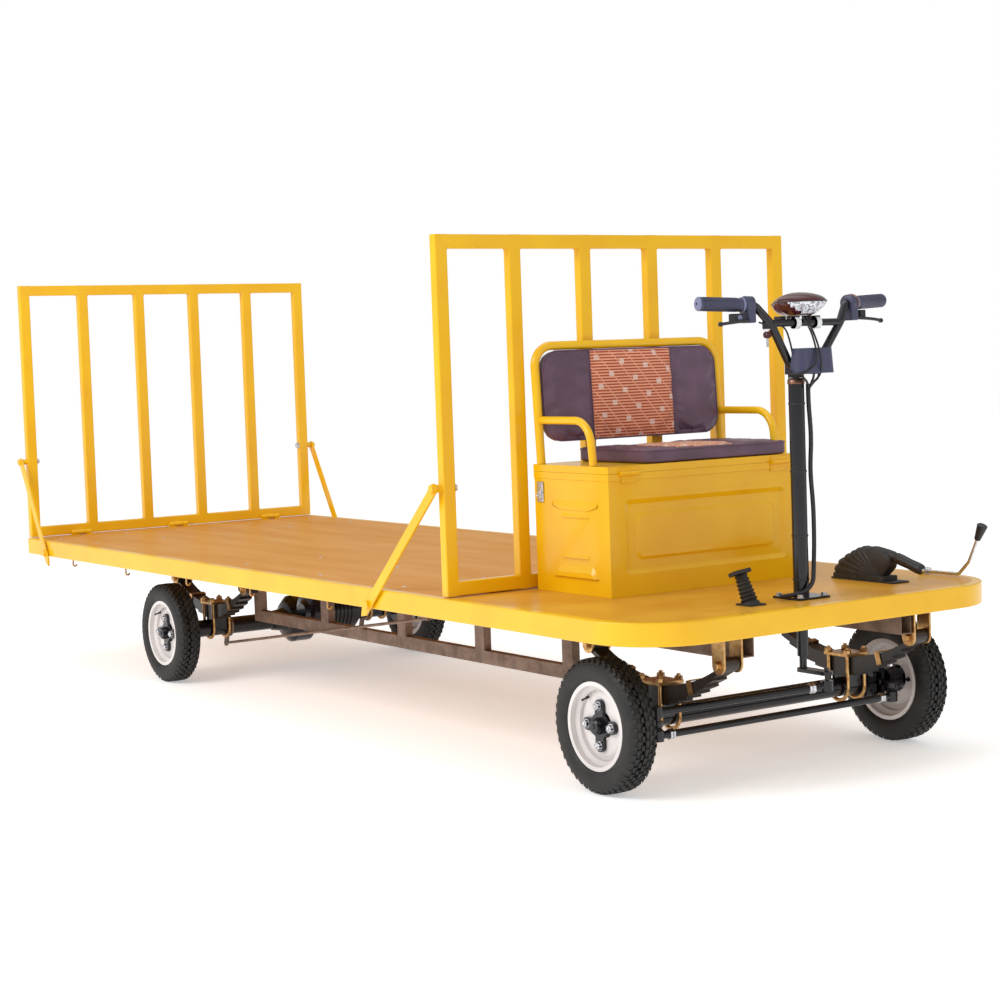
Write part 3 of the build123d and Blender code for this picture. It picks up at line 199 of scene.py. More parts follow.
def tint(tree, factor, stops):
    # Colour ramp: stops are (position, hex colour).
    ramp = addNode(tree, "ValToRGB", {"Fac": factor})
    elements = ramp.color_ramp.elements
    while len(elements) < len(stops):
        elements.new(0.5)
    for element, (position, colour) in zip(elements, stops):
        element.position = position
        element.color = linear(colour)
    return ramp.outputs["Color"]


def level(tree, factor, low, high, outLow, outHigh):
    # Straight-line change of one range to another.
    inputs = {"Value": factor, "From Min": low, "From Max": high, "To Min": outLow, "To Max": outHigh}
    return addNode(tree, "MapRange", inputs).outputs["Result"]


def mixed(tree, factor, first, second):
    # Two colours mixed by a factor from 0 to 1.
    node = addNode(tree, "Mix", data_type="RGBA")
    for socket, value in ((node.inputs[0], factor), (node.inputs[6], first), (node.inputs[7], second)):
        if isinstance(value, bpy.types.NodeSocket):
            tree.links.new(value, socket)
        else:
            socket.default_value = value if isinstance(value, float) else linear(value)
    return node.outputs[2]


def paint(tree, shader, colour):
    tree.links.new(colour, shader.inputs["Base Color"])


def dull(tree, shader, factor, low, high, outLow, outHigh):
    # Roughness that follows a factor.
    tree.links.new(level(tree, factor, low, high, outLow, outHigh), shader.inputs["Roughness"])


def reckon(tree, operation, first, second=0.5):
    return addNode(tree, "Math", {0: first, 1: second}, operation=operation).outputs[0]


def soften(tree, shader, radiusMm, height=None, depthMm=0.05, strength=0.5):
    # Rounded edges in the shading, with a fine relief over them where a height is given.
    edge = addNode(tree, "Bevel", {"Radius": radiusMm * mm}, samples=4).outputs["Normal"]
    if height is not None:
        inputs = {"Height": height, "Distance": depthMm * mm, "Strength": strength, "Normal": edge}
        edge = addNode(tree, "Bump", inputs).outputs["Normal"]
    tree.links.new(edge, shader.inputs["Normal"])


def makeEnamel(name, colour, shade, roughness=0.24, edgeMm=1.6, shine=0.35):
    # Sprayed gloss enamel on welded steel: a slight orange peel, clear top gloss and thin patches of tone.
    material, tree, shader, place = startMaterial(
        name, colour, roughness, Specular_IOR_Level=shine, Coat_Weight=0.7 * shine, Coat_Roughness=0.08
    )
    patches = grain(tree, place, 180, detail=2)
    paint(tree, shader, tint(tree, patches, ((0.35, colour), (0.7, shade))))
    soften(tree, shader, edgeMm, grain(tree, place, 7, detail=1), 0.06, 0.5)
    return material


def makePrimer(name, colour, shade):
    # Thin grey brown primer brushed over mill steel: matt, with darker scale showing through.
    material, tree, shader, place = startMaterial(name, colour, 0.5)
    scale = grain(tree, place, 45, detail=5, rough=0.65)
    paint(tree, shader, tint(tree, scale, ((0.35, shade), (0.65, colour))))
    dull(tree, shader, scale, 0.3, 0.7, 0.62, 0.42)
    soften(tree, shader, 2.0, grain(tree, place, 3, detail=3), 0.08, 0.6)
    return material


def makePlate(name, colour, shade, roughness=0.3):
    # Bright plating over turned or pressed steel: metallic, with small clouded patches.
    material, tree, shader, place = startMaterial(name, colour, roughness, metallic=1.0)
    clouds = grain(tree, place, 14, detail=3)
    paint(tree, shader, tint(tree, clouds, ((0.35, colour), (0.7, shade))))
    dull(tree, shader, clouds, 0.3, 0.7, roughness, roughness + 0.15)
    soften(tree, shader, 0.8)
    return material


def makePlastic(name, colour, roughness, grainMm=0.9, depthMm=0.06, edgeMm=1.2):
    # Moulded plastic: an even spark-eroded grain that breaks up the gloss.
    material, tree, shader, place = startMaterial(name, colour, roughness)
    pits = grain(tree, place, grainMm * 2, detail=2)
    soften(tree, shader, edgeMm, pits, depthMm, 0.6)
    dull(tree, shader, grain(tree, place, 60), 0.3, 0.7, roughness - 0.05, roughness + 0.08)
    return material


def makeRubber(name, colour, dust):
    # Vulcanised rubber: matt black, with pale dust that settles in broad patches.
    material, tree, shader, place = startMaterial(name, colour, 0.62)
    film = grain(tree, place, 38, detail=5, rough=0.6)
    paint(tree, shader, tint(tree, film, ((0.42, colour), (0.78, dust))))
    dull(tree, shader, film, 0.3, 0.8, 0.5, 0.8)
    soften(tree, shader, 0.8, grain(tree, place, 1.6, detail=3), 0.1, 0.5)
    return material


def makeBoard(name, colour, streak, pale):
    # Painted board: faint brown streaks drawn out along the truck, under a worn gloss.
    material, tree, shader, place = startMaterial(name, colour, 0.5, Specular_IOR_Level=0.12)
    broad = grain(tree, place, 150, detail=5, rough=0.62, stretch=(0.22, 1.5, 1))
    fine = grain(tree, place, 26, detail=4, rough=0.6, stretch=(0.08, 1.6, 1))
    base = tint(tree, broad, ((0.3, streak), (0.5, colour), (0.72, pale)))
    lines = tint(tree, fine, ((0.36, streak), (0.6, colour)))
    paint(tree, shader, mixed(tree, 0.25, base, lines))
    dull(tree, shader, broad, 0.3, 0.7, 0.52, 0.4)
    soften(tree, shader, 1.0, fine, 0.08, 0.4)
    return material


def makeVinyl(name, colour, lit):
    # Coated seat cloth: small pebbled grain, and folds where it is drawn over the padding, their crests
    # painted lighter as a painted highlight.
    material, tree, shader, place = startMaterial(name, colour, 0.46, Coat_Weight=0.12, Coat_Roughness=0.3)
    folds = grain(tree, place, 70, detail=2, rough=0.4, stretch=(1, 0.8, 1.4))
    pebble = cells(tree, place, 1.5)["Distance"]
    # The fold noise also raises the bump, so its lighter colour lies on the crests: painted highlight.
    paint(tree, shader, tint(tree, folds, ((0.35, colour), (0.75, lit))))
    relief = reckon(tree, "ADD", reckon(tree, "MULTIPLY", pebble, 0.12), reckon(tree, "MULTIPLY", folds, 2.2))
    soften(tree, shader, 1.0, relief, 1.6, 0.55)
    return material


weaveSettings = {
    # pitches in millimetres, along the cloth first
    "pickPitch": 8.6,
    "pickGap": 0.54,
    "floatPitch": (62.0, 53.0),
    "floatGap": 0.93,
    "gridPitch": ((-41.0, -271.5), (-88.3, 100.9)),
    "squareSides": ((-40.0, 86.0, 8.5), (-35.0, -13.0, 7.5)),
    "squareTone": 0.65,
    "yarnPitch": 1.8,
}


def makeWeave(name, colour, thread, pale, up, settings=weaveSettings):
    # Woven panel: dark picks across the cloth, broken by pale slanting floats, with small pale squares.
    sheen = {"Specular_IOR_Level": 0.2, "Sheen_Weight": 0.2}
    material, tree, shader, place = startMaterial(name, colour, 0.75, **sheen)
    split = addNode(tree, "SeparateXYZ", {"Vector": place})
    along = reckon(tree, "MULTIPLY", split.outputs[up], 1 / mm)
    across = reckon(tree, "MULTIPLY", split.outputs["Y"], 1 / mm)

    def steps(alongPitch, acrossPitch):
        # Counts repeats along a direction given by its pitch on each axis.
        counts = reckon(tree, "DIVIDE", along, alongPitch), reckon(tree, "DIVIDE", across, acrossPitch)
        return reckon(tree, "ADD", *counts)

    def past(count, share):
        # One where a repeat is past a share of itself, else zero.
        return reckon(tree, "GREATER_THAN", reckon(tree, "FRACT", count), share)

    dark = past(reckon(tree, "DIVIDE", along, settings["pickPitch"]), settings["pickGap"])
    slant = past(steps(*settings["floatPitch"]), settings["floatGap"])
    # Squares stand on a slanting grid: the nearest crossing of its two directions, then the distance to it.
    counts = [steps(*pitch) for pitch in settings["gridPitch"]]
    offFirst, offSecond = [reckon(tree, "SUBTRACT", count, reckon(tree, "ROUND", count)) for count in counts]

    def near(scaleFirst, scaleSecond, reach):
        offset = reckon(tree, "ADD", reckon(tree, "MULTIPLY", offFirst, scaleFirst),
                        reckon(tree, "MULTIPLY", offSecond, scaleSecond))
        return reckon(tree, "LESS_THAN", reckon(tree, "ABSOLUTE", offset), reach)

    square = reckon(tree, "MULTIPLY", *[near(*side) for side in settings["squareSides"]])
    picks = reckon(tree, "MULTIPLY", dark, reckon(tree, "SUBTRACT", 1.0, slant))
    cloth = mixed(tree, picks, colour, thread)
    cloth = mixed(tree, reckon(tree, "MULTIPLY", square, settings["squareTone"]), cloth, pale)
    paint(tree, shader, cloth)
    yarn = reckon(tree, "SINE", reckon(tree, "MULTIPLY", across, 2 * math.pi / settings["yarnPitch"]))
    soften(tree, shader, 1.0, reckon(tree, "SUBTRACT", yarn, dark), 0.25, 0.6)
    return material


def makeFacets(name, colour, shade, sizeMm):
    # Clear lens over a bright reflector: small cells, each tipped its own way, and each painted brighter or
    # darker as a painted reflection of the reflector.
    material, tree, shader, place = startMaterial(name, colour, 0.12, Coat_Weight=0.6)
    facets = cells(tree, place, sizeMm)
    paintedGlint = reckon(tree, "FRACT", reckon(tree, "MULTIPLY", facets["Color"], 3.7))
    # Each cell's brightness, from the shade to the colour, is painted reflection, not a tint of the lens.
    paint(tree, shader, tint(tree, paintedGlint, ((0.25, shade), (0.5, colour))))
    soften(tree, shader, 0.6, facets["Distance"], 1.4, 0.8)
    return material


yellowEnamel = makeEnamel("yellowEnamel", "#f1bd08", "#ecb206", 0.28)
ochreEnamel = makeEnamel("ochreEnamel", "#dba338", "#cc902a", 0.36, 1.6, 0.14)
millPrimer = makePrimer("millPrimer", "#8d7462", "#6b5445")
blackEnamel = makeEnamel("blackEnamel", "#15151c", "#0e0e13", 0.2)
springSteel = makeEnamel("springSteel", "#221d1a", "#3a2a1e", 0.4, 0.8)
yellowZinc = makePlate("yellowZinc", "#cfa871", "#b07f4a", 0.28)
brightZinc = makePlate("brightZinc", "#dcdce0", "#b9bac0", 0.22)
copperRing = makePlate("copperRing", "#94705f", "#74503f", 0.34)
mouldedBlack = makePlastic("mouldedBlack", "#1b1a1f", 0.4)
slatePlastic = makePlastic("slatePlastic", "#3d3e58", 0.4)
slateCap = makePlastic("slateCap", "#777a98", 0.45)
meterBrown = makePlastic("meterBrown", "#4b2022", 0.16, 0.9, 0.01)
lampWhite = makePlastic("lampWhite", "#e9ecec", 0.18)
# Lens: the pale colour and the grey are the two ends of the painted reflection in its cells.
lampFacets = makeFacets("lampFacets", "#e4e6ee", "#8f8c94", 5.0)
wheelEnamel = makeEnamel("wheelEnamel", "#e6e0de", "#d6d0ce", 0.3)
tyreRubber = makeRubber("tyreRubber", "#121212", "#35312e")
pleatRubber = makeRubber("pleatRubber", "#1c1a1b", "#38342f")
loadBoard = makeBoard("loadBoard", "#d39136", "#cb872c", "#d99a3e")
# Plum vinyl: its second colour is a painted highlight on the crests of the folds.
plumVinyl = makeVinyl("plumVinyl", "#543a4d", "#684a62")
orangeWeave = makeWeave("orangeWeave", "#eba583", "#a8452c", "#eed9ce", "Z")
tanWeave = makeWeave("tanWeave", "#e0aa88", "#b4633f", "#f0dccb", "X")
# Near-black for the hole in the grip's end: painted shade, not the plastic's colour.
holeShade = makePlastic("holeShade", "#050505", 0.8)

slotMaterials = {
    "yellow_paint": yellowEnamel,
    "ochre_plate": ochreEnamel,
    "deck_board": loadBoard,
    "frame_primer": millPrimer,
    "black_paint": blackEnamel,
    "zinc": yellowZinc,
    "chrome": brightZinc,
    "black_plastic": mouldedBlack,
    "black_rubber": mouldedBlack,
    "leather": plumVinyl,
    "rim_paint": wheelEnamel,
    "tyre": tyreRubber,
}
nodeMaterials = {
    "leaf_springs": springSteel,
    "handbrake": pleatRubber,
    "brake_pedal": pleatRubber,
    "bar_cover": slatePlastic,
    "meter": meterBrown,
}
for subpart in frame["record"]["subparts"]:
    node = nodes[subpart["node"]]
    node.data.materials.clear()
    node.data.materials.append(nodeMaterials.get(subpart["node"], slotMaterials[subpart["material_slot"]]))
report("materials")

# Shapes: each is a pair of points in millimetres and faces


def acrossFrom(axis):
    # Two directions square to an axis, so that side, other and axis are a right-handed set.
    axis = unit(axis)
    hint = (1, 0, 0) if abs(axis[2]) > 0.95 else (0, 0, 1)
    side = unit(np.cross(hint, axis))
    return side, np.cross(axis, side), axis


def gridFaces(rows, columns, closeRows=False):
    # Quads of a grid whose columns run round and close.
    row = np.arange(rows if closeRows else rows - 1)[:, None]
    column = np.arange(columns)
    above, beside = (row + 1) % rows, (column + 1) % columns
    corners = [i * columns + j for i, j in ((row, column), (row, beside), (above, beside), (above, column))]
    return np.stack(corners, axis=-1).reshape(-1, 4).tolist()


def carried(profile, origin, axis, count):
    # The points of a profile of (distance along, radius), carried round an axis.
    side, other, axis = acrossFrom(axis)
    turn = np.arange(count) * 2 * np.pi / count
    ring = np.cos(turn)[:, None] * side + np.sin(turn)[:, None] * other
    along, radius = np.asarray(profile, float).T[:, :, None, None]
    return (np.asarray(origin) + along * axis + radius * ring).reshape(-1, 3)


def turned(profile, origin=(0, 0, 0), axis=(0, 0, 1), count=24):
    # A solid turned about an axis; a point on the axis closes each end.
    ends = [np.asarray(origin) + along * unit(axis) for along in (profile[0][0], profile[-1][0])]
    last = (len(profile) - 1) * count
    middle = last + count
    faces = gridFaces(len(profile), count)
    faces += [[(i + 1) % count, i, middle] for i in range(count)]
    faces += [[last + i, last + (i + 1) % count, middle + 1] for i in range(count)]
    return np.vstack([carried(profile, origin, axis, count), ends]), faces


def hooped(profile, origin, axis, count):
    # A ring turned about an axis from a closed profile.
    return carried(profile, origin, axis, count), gridFaces(len(profile), count, closeRows=True)


def block(low, high):
    # A box between two corners.
    picks = np.array([[i >> 2 & 1, i >> 1 & 1, i & 1] for i in range(8)])
    faces = [[0, 1, 3, 2], [4, 6, 7, 5], [0, 4, 5, 1], [2, 3, 7, 6], [0, 2, 6, 4], [1, 5, 7, 3]]
    return np.where(picks, np.asarray(high, float), np.asarray(low, float)), faces


def roundedOutline(left, right, low, high, radius, steps=7):
    # Anticlockwise outline of a rounded rectangle.
    corners = ((right - radius, high - radius), (left + radius, high - radius),
               (left + radius, low + radius), (right - radius, low + radius))
    turns = np.linspace(0, math.pi / 2, steps) + np.arange(4)[:, None] * math.pi / 2
    return np.vstack([np.column_stack([x + radius * np.cos(turn), y + radius * np.sin(turn)])
                      for (x, y), turn in zip(corners, turns)])


def slab(outline, low, high, edge):
    # An outline carried up from low to high, its two rims drawn in a little.
    middle = (outline.min(axis=0) + outline.max(axis=0)) / 2
    half = (outline.max(axis=0) - outline.min(axis=0)) / 2
    drawn = middle + (outline - middle) * (half - edge) / half
    rows = ((drawn, low), (outline, low + edge), (outline, high - edge), (drawn, high))
    count = len(outline)
    points = np.vstack([np.column_stack([row, np.full(count, z)]) for row, z in rows])
    caps = [list(range(count))[::-1], list(range(3 * count, 4 * count))]
    return points, gridFaces(4, count) + caps


def moved(shape, by):
    return shape[0] + np.asarray(by, float), shape[1]


def pad(halfLong, halfWide, corner, low, high, edge, at=(0, 0, 0)):
    # A slab whose outline is a rounded rectangle, from low to high about a place.
    return moved(slab(roundedOutline(-halfLong, halfLong, -halfWide, halfWide, corner), low, high, edge), at)


def joined(shapes):
    points, faces, start = [], [], 0
    for shapePoints, shapeFaces in shapes:
        points.append(shapePoints)
        faces += [[start + corner for corner in face] for face in shapeFaces]
        start += len(shapePoints)
    return np.vstack(points), faces


def copies(shape, places):
    # The same shape at several places, each (origin, axis): its own +Z is laid along the axis.
    points, faces = shape
    made = [(np.asarray(origin) + points @ np.array(acrossFrom(axis)), faces) for origin, axis in places]
    return joined(made)


def around(shape, count):
    # The same shape repeated round its own Z.
    points, faces = shape
    turns = np.arange(count) * 2 * np.pi / count
    return joined([
        (points @ np.array([[math.cos(t), math.sin(t), 0], [-math.sin(t), math.cos(t), 0], [0, 0, 1]]), faces)
        for t in turns
    ])


def addMesh(name, shape, material, body, sharpAngle=32):
    points, faces = shape
    mesh = bpy.data.meshes.new(name)
    mesh.from_pydata((points * mm).tolist(), [], faces)
    mesh.materials.append(material)
    mesh.shade_smooth()
    mesh.set_sharp_from_angle(angle=math.radians(sharpAngle))
    piece = addObject(name, mesh)
    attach(piece, body)
    return piece


def addTubes(name, routes, radius, material, body, closed=False):
    # Round tubes along smooth lines that start and end with each route and pass near its other points.
    curve = bpy.data.curves.new(name, "CURVE")
    curve.dimensions = "3D"
    curve.bevel_depth = radius * mm
    curve.bevel_resolution = 3
    curve.use_fill_caps = True
    for route in routes:
        route = np.asarray(route, float) * mm
        spline = curve.splines.new("NURBS")
        spline.points.add(len(route) - 1)
        spline.points.foreach_set("co", np.column_stack([route, np.ones(len(route))]).ravel())
        spline.order_u = 3
        spline.use_endpoint_u = not closed
        spline.use_cyclic_u = closed
        spline.resolution_u = 6
    curve.materials.append(material)
    piece = addObject(name, curve)
    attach(piece, body)


def hexHead(width, height):
    # Six-sided head with its top corners turned down.
    radius = width / 2 / math.cos(math.pi / 6)
    return turned([(0, radius), (height * 0.82, radius), (height, radius * 0.84)], count=6)


def washer(radius, thickness=2.0):
    return turned([(0, radius), (thickness, radius)], count=20)


def domeHead(radius, height):
    steps = np.linspace(0, math.pi / 2, 5)[:-1]
    return turned([(height * math.sin(s), radius * math.cos(s)) for s in steps], count=20)


def boltSet(name, places, material, body, width, height):
    # Washers and hexagon heads at places of (origin, axis), each head sunk a little into its washer.
    shape = joined([washer(width * 0.72), moved(hexHead(width, height), (0, 0, 1.9))])
    addMesh(name, copies(shape, places), material, body)


report("shapes")

# Wheels: tread blocks on a rounded carcass, chrome nuts and a centre cap
wheelSettings = {
    "frontX": 1659.0,
    "rearX": -953.0,
    "y": 521.0,
    "z": 178.5,
    "around": 128,
    "crown": 174.4,
    "blocksAround": 46,
    "blockDraw": 0.5,
    "blockTop": 0.86,
    "nuts": 4,
    "nutCircle": 52.0,
    "nutFace": 20.5,
    "capFace": 34.5,
    "valve": (86.0, 14.0, 2.2),
    "valveLean": (0.25, -0.2),
}
carcass = (
    # distance from the middle plane, radius, from the bead up over the shoulder
    (26.0, 110.2), (30.4, 111.5), (30.6, 117.6), (35.5, 119.0), (39.6, 124.0), (42.2, 132.0), (43.0, 141.0),
    (42.6, 150.0), (40.9, 158.5), (37.8, 165.0), (32.5, 170.2), (25.0, 173.2), (13.0, 174.2),
)
treadRows = (
    # from, to, foot's radius, radius of the top at each, share of the pitch, share that the row is turned
    (-5.0, 5.0, 172.0, 178.2, 178.2, 0.72, 0.0),
    (-17.3, -7.9, 172.0, 177.822, 177.822, 0.66, 0.5),
    (7.9, 17.3, 172.0, 177.822, 177.822, 0.66, 0.5),
    (-29.1, -20.1, 172.0, 177.462, 177.462, 0.68, 0.0),
    (20.1, 29.1, 172.0, 177.462, 177.462, 0.68, 0.0),
    (31.5, 40.6, 160.0, 176.2, 160.8, 0.5, 0.5),
    (-40.6, -31.5, 160.0, 160.8, 176.2, 0.5, 0.5),
)
wheelNut = joined([
    washer(12.5, 1.6),
    moved(hexHead(19.6, 9.6), (0, 0, 1.5)),
    moved(domeHead(7.6, 6.0), (0, 0, 9.0)),
])
hubCap = joined([turned([(0, 19.5), (2.6, 19.5), (5.0, 16.5), (5.6, 0.8)], count=32), hexHead(13.0, 8.0)])
valveStem = ((0, 4.2), (10, 3.6), (11, 2.6), (20, 2.6), (21, 3.2), (27, 3.2))


def treadShape(rows, settings):
    # Each block spans an arc and a strip across the tread; its top is drawn in a little from its foot.
    count, draw, top = settings["blocksAround"], settings["blockDraw"], settings["blockTop"]
    pitch = 2 * np.pi / count
    block = [[7, 6, 5, 4], [4, 5, 1, 0], [5, 6, 2, 1], [6, 7, 3, 2], [7, 4, 0, 3], [0, 1, 2, 3]]
    faces = (8 * np.arange(count)[:, None, None] + np.array(block)).reshape(-1, 4).tolist()
    made = []
    for low, high, foot, topLow, topHigh, share, shift in rows:
        across, radius, spread = np.array([
            (low, foot, -1), (high, foot, -1), (high, foot, 1), (low, foot, 1),
            (low + draw, topLow, -top), (high - draw, topHigh, -top),
            (high - draw, topHigh, top), (low + draw, topLow, top),
        ]).T
        turn = (np.arange(count)[:, None] + shift) * pitch + spread * pitch * share / 2
        points = np.stack([radius * np.cos(turn), across + 0 * turn, radius * np.sin(turn)], axis=-1)
        made.append((points.reshape(-1, 3), faces))
    return joined(made)


def makeWheel(name, x, side, settings):
    body = "wheel_" + name
    centre = np.array([x, side * settings["y"], settings["z"]])
    over = [(-y, r) for y, r in carcass]
    loop = [*carcass, (0.0, settings["crown"]), *over]
    tread = moved(treadShape(treadRows, settings), centre)
    shape = joined([hooped(loop, centre, (0, 1, 0), settings["around"]), tread])
    tyre = addMesh("tyre_dressed_" + name, shape, tyreRubber, body)
    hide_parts("tyre_" + name)

    def onFace(reach, face, turn):
        # A point of the wheel's outer side, by its reach and turn about the axle.
        return centre + [reach * math.cos(turn), side * face, reach * math.sin(turn)]

    turns = np.arange(settings["nuts"]) * 2 * np.pi / settings["nuts"]
    nuts = [(onFace(settings["nutCircle"], settings["nutFace"], turn), (0, side, 0)) for turn in turns]
    addMesh("wheel_nuts_" + name, copies(wheelNut, nuts), brightZinc, body)
    cap = [(onFace(0, settings["capFace"], 0), (0, side, 0))]
    addMesh("hub_cap_" + name, copies(hubCap, cap), blackEnamel, body)
    lean = (settings["valveLean"][0], side, settings["valveLean"][1])
    addMesh("valve_" + name, turned(valveStem, onFace(*settings["valve"]), lean, 14), mouldedBlack, body)


for end in ("front", "rear"):
    for name, side in (("_right", -1), ("_left", 1)):
        makeWheel(end + name, wheelSettings[end + "X"], side, wheelSettings)
report("wheels")

# Cushions: slabs that the cloth simulation blows up between their seams
cushionSettings = {
    "voxel": 5.0,
    "pressure": 4.0,
    "shrink": -0.04,
    "frames": 20,
    "skin": 3.0,
    "seamWidth": 5.0,
    "seamDepth": 3.0,
    "seamFade": 5.0,
    "rimWidth": 3.0,
    "crownFade": 60.0,
    "seamRadius": 1.5,
    "seamProud": 0.4,
    "seamEnd": 4.0,
    "lookFrom": 60.0,
    "pipingRadius": 2.2,
    "pipingDepth": 2.0,
}
cushions = {
    "seat": {
        "node": "seat_cushion",
        "origin": (1301.0, 56.6, 832.0),
        "across": (0, 1, 0),
        "up": (-1, 0, 0),
        "size": (517.0, 324.0),
        "thickness": 36.0,
        "lift": 0.6,
        "corner": 26.0,
        "cap": 5.5,
        "panel": (-130.0, 118.0, -118.0, 110.0),
        "panelCorner": 46.0,
        "weave": tanWeave,
        "fill": 0.8,
    },
    "back": {
        "node": "back_cushion",
        "origin": (1132.1, 0.0, 1020.3),
        "across": (0, 1, 0),
        "up": (-20.0, 0, 332.5),
        "size": (630.0, 256.0),
        "thickness": 28.0,
        "lift": -11.0,
        "corner": 54.0,
        "cap": 8.0,
        "panel": (-148.0, 148.0, -200.0, 200.0),
        "panelCorner": 1.0,
        "weave": orangeWeave,
        "fill": 0.85,
    },
}


def inRounded(points, left, right, low, high, radius):
    # Distance outside a rounded rectangle, negative inside: the usual box distance less the radius.
    middle = np.array([(left + right) / 2, (low + high) / 2])
    half = np.array([(right - left) / 2, (high - low) / 2])
    beyond = np.abs(points - middle) - half + radius
    return np.linalg.norm(np.maximum(beyond, 0), axis=1) + np.minimum(beyond.max(axis=1), 0) - radius


def pointsOf(mesh):
    flat = np.empty(len(mesh.vertices) * 3)
    mesh.vertices.foreach_get("co", flat)
    return flat.reshape(-1, 3) / mm


def baked(piece):
    # The piece's mesh with its modifiers applied.
    graph = bpy.context.evaluated_depsgraph_get()
    return bpy.data.meshes.new_from_object(piece.evaluated_get(graph))


def settle(piece):
    # Keeps what the modifiers make of the piece, and takes them off.
    piece.data = baked(piece)
    piece.modifiers.clear()


def blownUp(piece, pinned, common):
    # The slab's points after the cloth simulation, with the pinned ones held.
    group = piece.vertex_groups.new(name="held")
    group.add(np.flatnonzero(pinned).tolist(), 1.0, "REPLACE")
    cloth = piece.modifiers.new("cloth", "CLOTH").settings
    cloth.quality = 5
    cloth.use_pressure = True
    cloth.uniform_pressure_force = common["pressure"]
    cloth.vertex_group_mass = "held"
    cloth.effector_weights.gravity = 0
    cloth.shrink_min = common["shrink"]
    for step in range(1, common["frames"] + 1):
        bpy.context.scene.frame_set(step)
    points = pointsOf(baked(piece))
    piece.modifiers.clear()
    bpy.context.scene.frame_set(1)
    return points


def makeCushion(name, settings, common):
    across, up = unit(settings["across"]), unit(settings["up"])
    axes = np.array([across, up, np.cross(across, up)])
    origin = np.asarray(settings["origin"], float)
    halfWide, halfHigh = settings["size"][0] / 2, settings["size"][1] / 2
    edge = (-halfWide, halfWide, -halfHigh, halfHigh, settings["corner"])
    panel = (*settings["panel"], settings["panelCorner"])
    outline = roundedOutline(*edge)
    count = len(outline)
    low, high = settings["lift"], settings["lift"] + settings["thickness"]
    flat = np.vstack([np.column_stack([outline, np.full(count, z)]) for z in (low, high)])
    sides = [[i, (i + 1) % count, count + (i + 1) % count, count + i] for i in range(count)]
    faces = [list(range(count))[::-1], list(range(count, 2 * count)), *sides]
    mesh = bpy.data.meshes.new(name + "_slab")
    mesh.from_pydata((flat * mm).tolist(), [], faces)
    piece = addObject("cushion_" + name, mesh)
    remesh = piece.modifiers.new("even", "REMESH")
    remesh.mode = "VOXEL"
    remesh.voxel_size = common["voxel"] * mm
    settle(piece)
    rest = pointsOf(piece.data)
    toSeam = np.abs(inRounded(rest[:, :2], *panel))
    toEdge = np.abs(inRounded(rest[:, :2], *edge))
    onFront = rest[:, 2] > high - common["skin"]
    onBack = rest[:, 2] < low + common["skin"]
    pinned = (onFront & (toSeam < common["seamWidth"])) | onBack | (toEdge < common["rimWidth"])
    blown = blownUp(piece, pinned, common)
    # No point moves further than the cap.
    move = blown - rest
    reach = np.linalg.norm(move, axis=1)
    shaped = rest + move * np.minimum(1, settings["cap"] / np.maximum(reach, 1e-6))[:, None]
    # A stitched seam draws the cloth in: its depth falls off as a bell curve of the distance to the seam.
    drawn = common["seamDepth"] * np.exp(-(toSeam / common["seamFade"]) ** 2)
    shaped[:, 2] -= np.where(onFront, drawn, 0)
    piece.data.vertices.foreach_set("co", ((origin + shaped @ axes) * mm).ravel())
    piece.data.update()
    sub = piece.modifiers.new("even", "SUBSURF")
    sub.levels = sub.render_levels = 1
    settle(piece)
    mesh = piece.data
    mesh.materials.clear()
    mesh.materials.append(plumVinyl)
    mesh.materials.append(settings["weave"])
    centres = np.empty(len(mesh.polygons) * 3)
    mesh.polygons.foreach_get("center", centres)
    local = (centres.reshape(-1, 3) / mm - origin) @ axes.T
    woven = (inRounded(local[:, :2], *panel) < 0) & (local[:, 2] > (low + high) / 2)
    mesh.polygons.foreach_set("material_index", woven.astype(np.int32))
    mesh.shade_smooth()
    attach(piece, "seat")
    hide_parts(settings["node"])
    addSeams(name, piece, settings, common, origin, axes)


def addSeams(name, piece, settings, common, origin, axes):
    # Raised seams laid on the cushion by a straight look down on it from outside.
    left, right, low, top = settings["panel"]
    halfWide, halfHigh = settings["size"][0] / 2, settings["size"][1] / 2
    face = settings["lift"] + settings["thickness"]
    closed = name == "seat"
    if closed:
        lines = [roundedOutline(left, right, low, top, settings["panelCorner"], 10)]
    else:
        rise = np.linspace(common["seamEnd"] - halfHigh, halfHigh - common["seamEnd"], 40)
        lines = [np.column_stack([np.full(len(rise), x), rise]) for x in (left, right)]
    tree = BVHTree.FromObject(piece, bpy.context.evaluated_depsgraph_get())
    for number, line in enumerate(lines):
        starts = (origin + np.column_stack([line, np.full(len(line), face + common["lookFrom"])]) @ axes) * mm
        hits = [tree.ray_cast(Vector(start), Vector(-axes[2]))[0] for start in starts]
        route = [np.array(hit) / mm + axes[2] * common["seamProud"] for hit in hits if hit is not None]
        addTubes(f"seam_{name}_{number}", [route], common["seamRadius"], plumVinyl, "seat", closed)
    edge = roundedOutline(-halfWide, halfWide, -halfHigh, halfHigh, settings["corner"], 9)
    piping = origin + np.column_stack([edge, np.full(len(edge), face - common["pipingDepth"])]) @ axes
    addTubes("piping_" + name, [piping], common["pipingRadius"], plumVinyl, "seat", True)


for name, settings in cushions.items():
    makeCushion(name, settings, cushionSettings)
report("cushions")

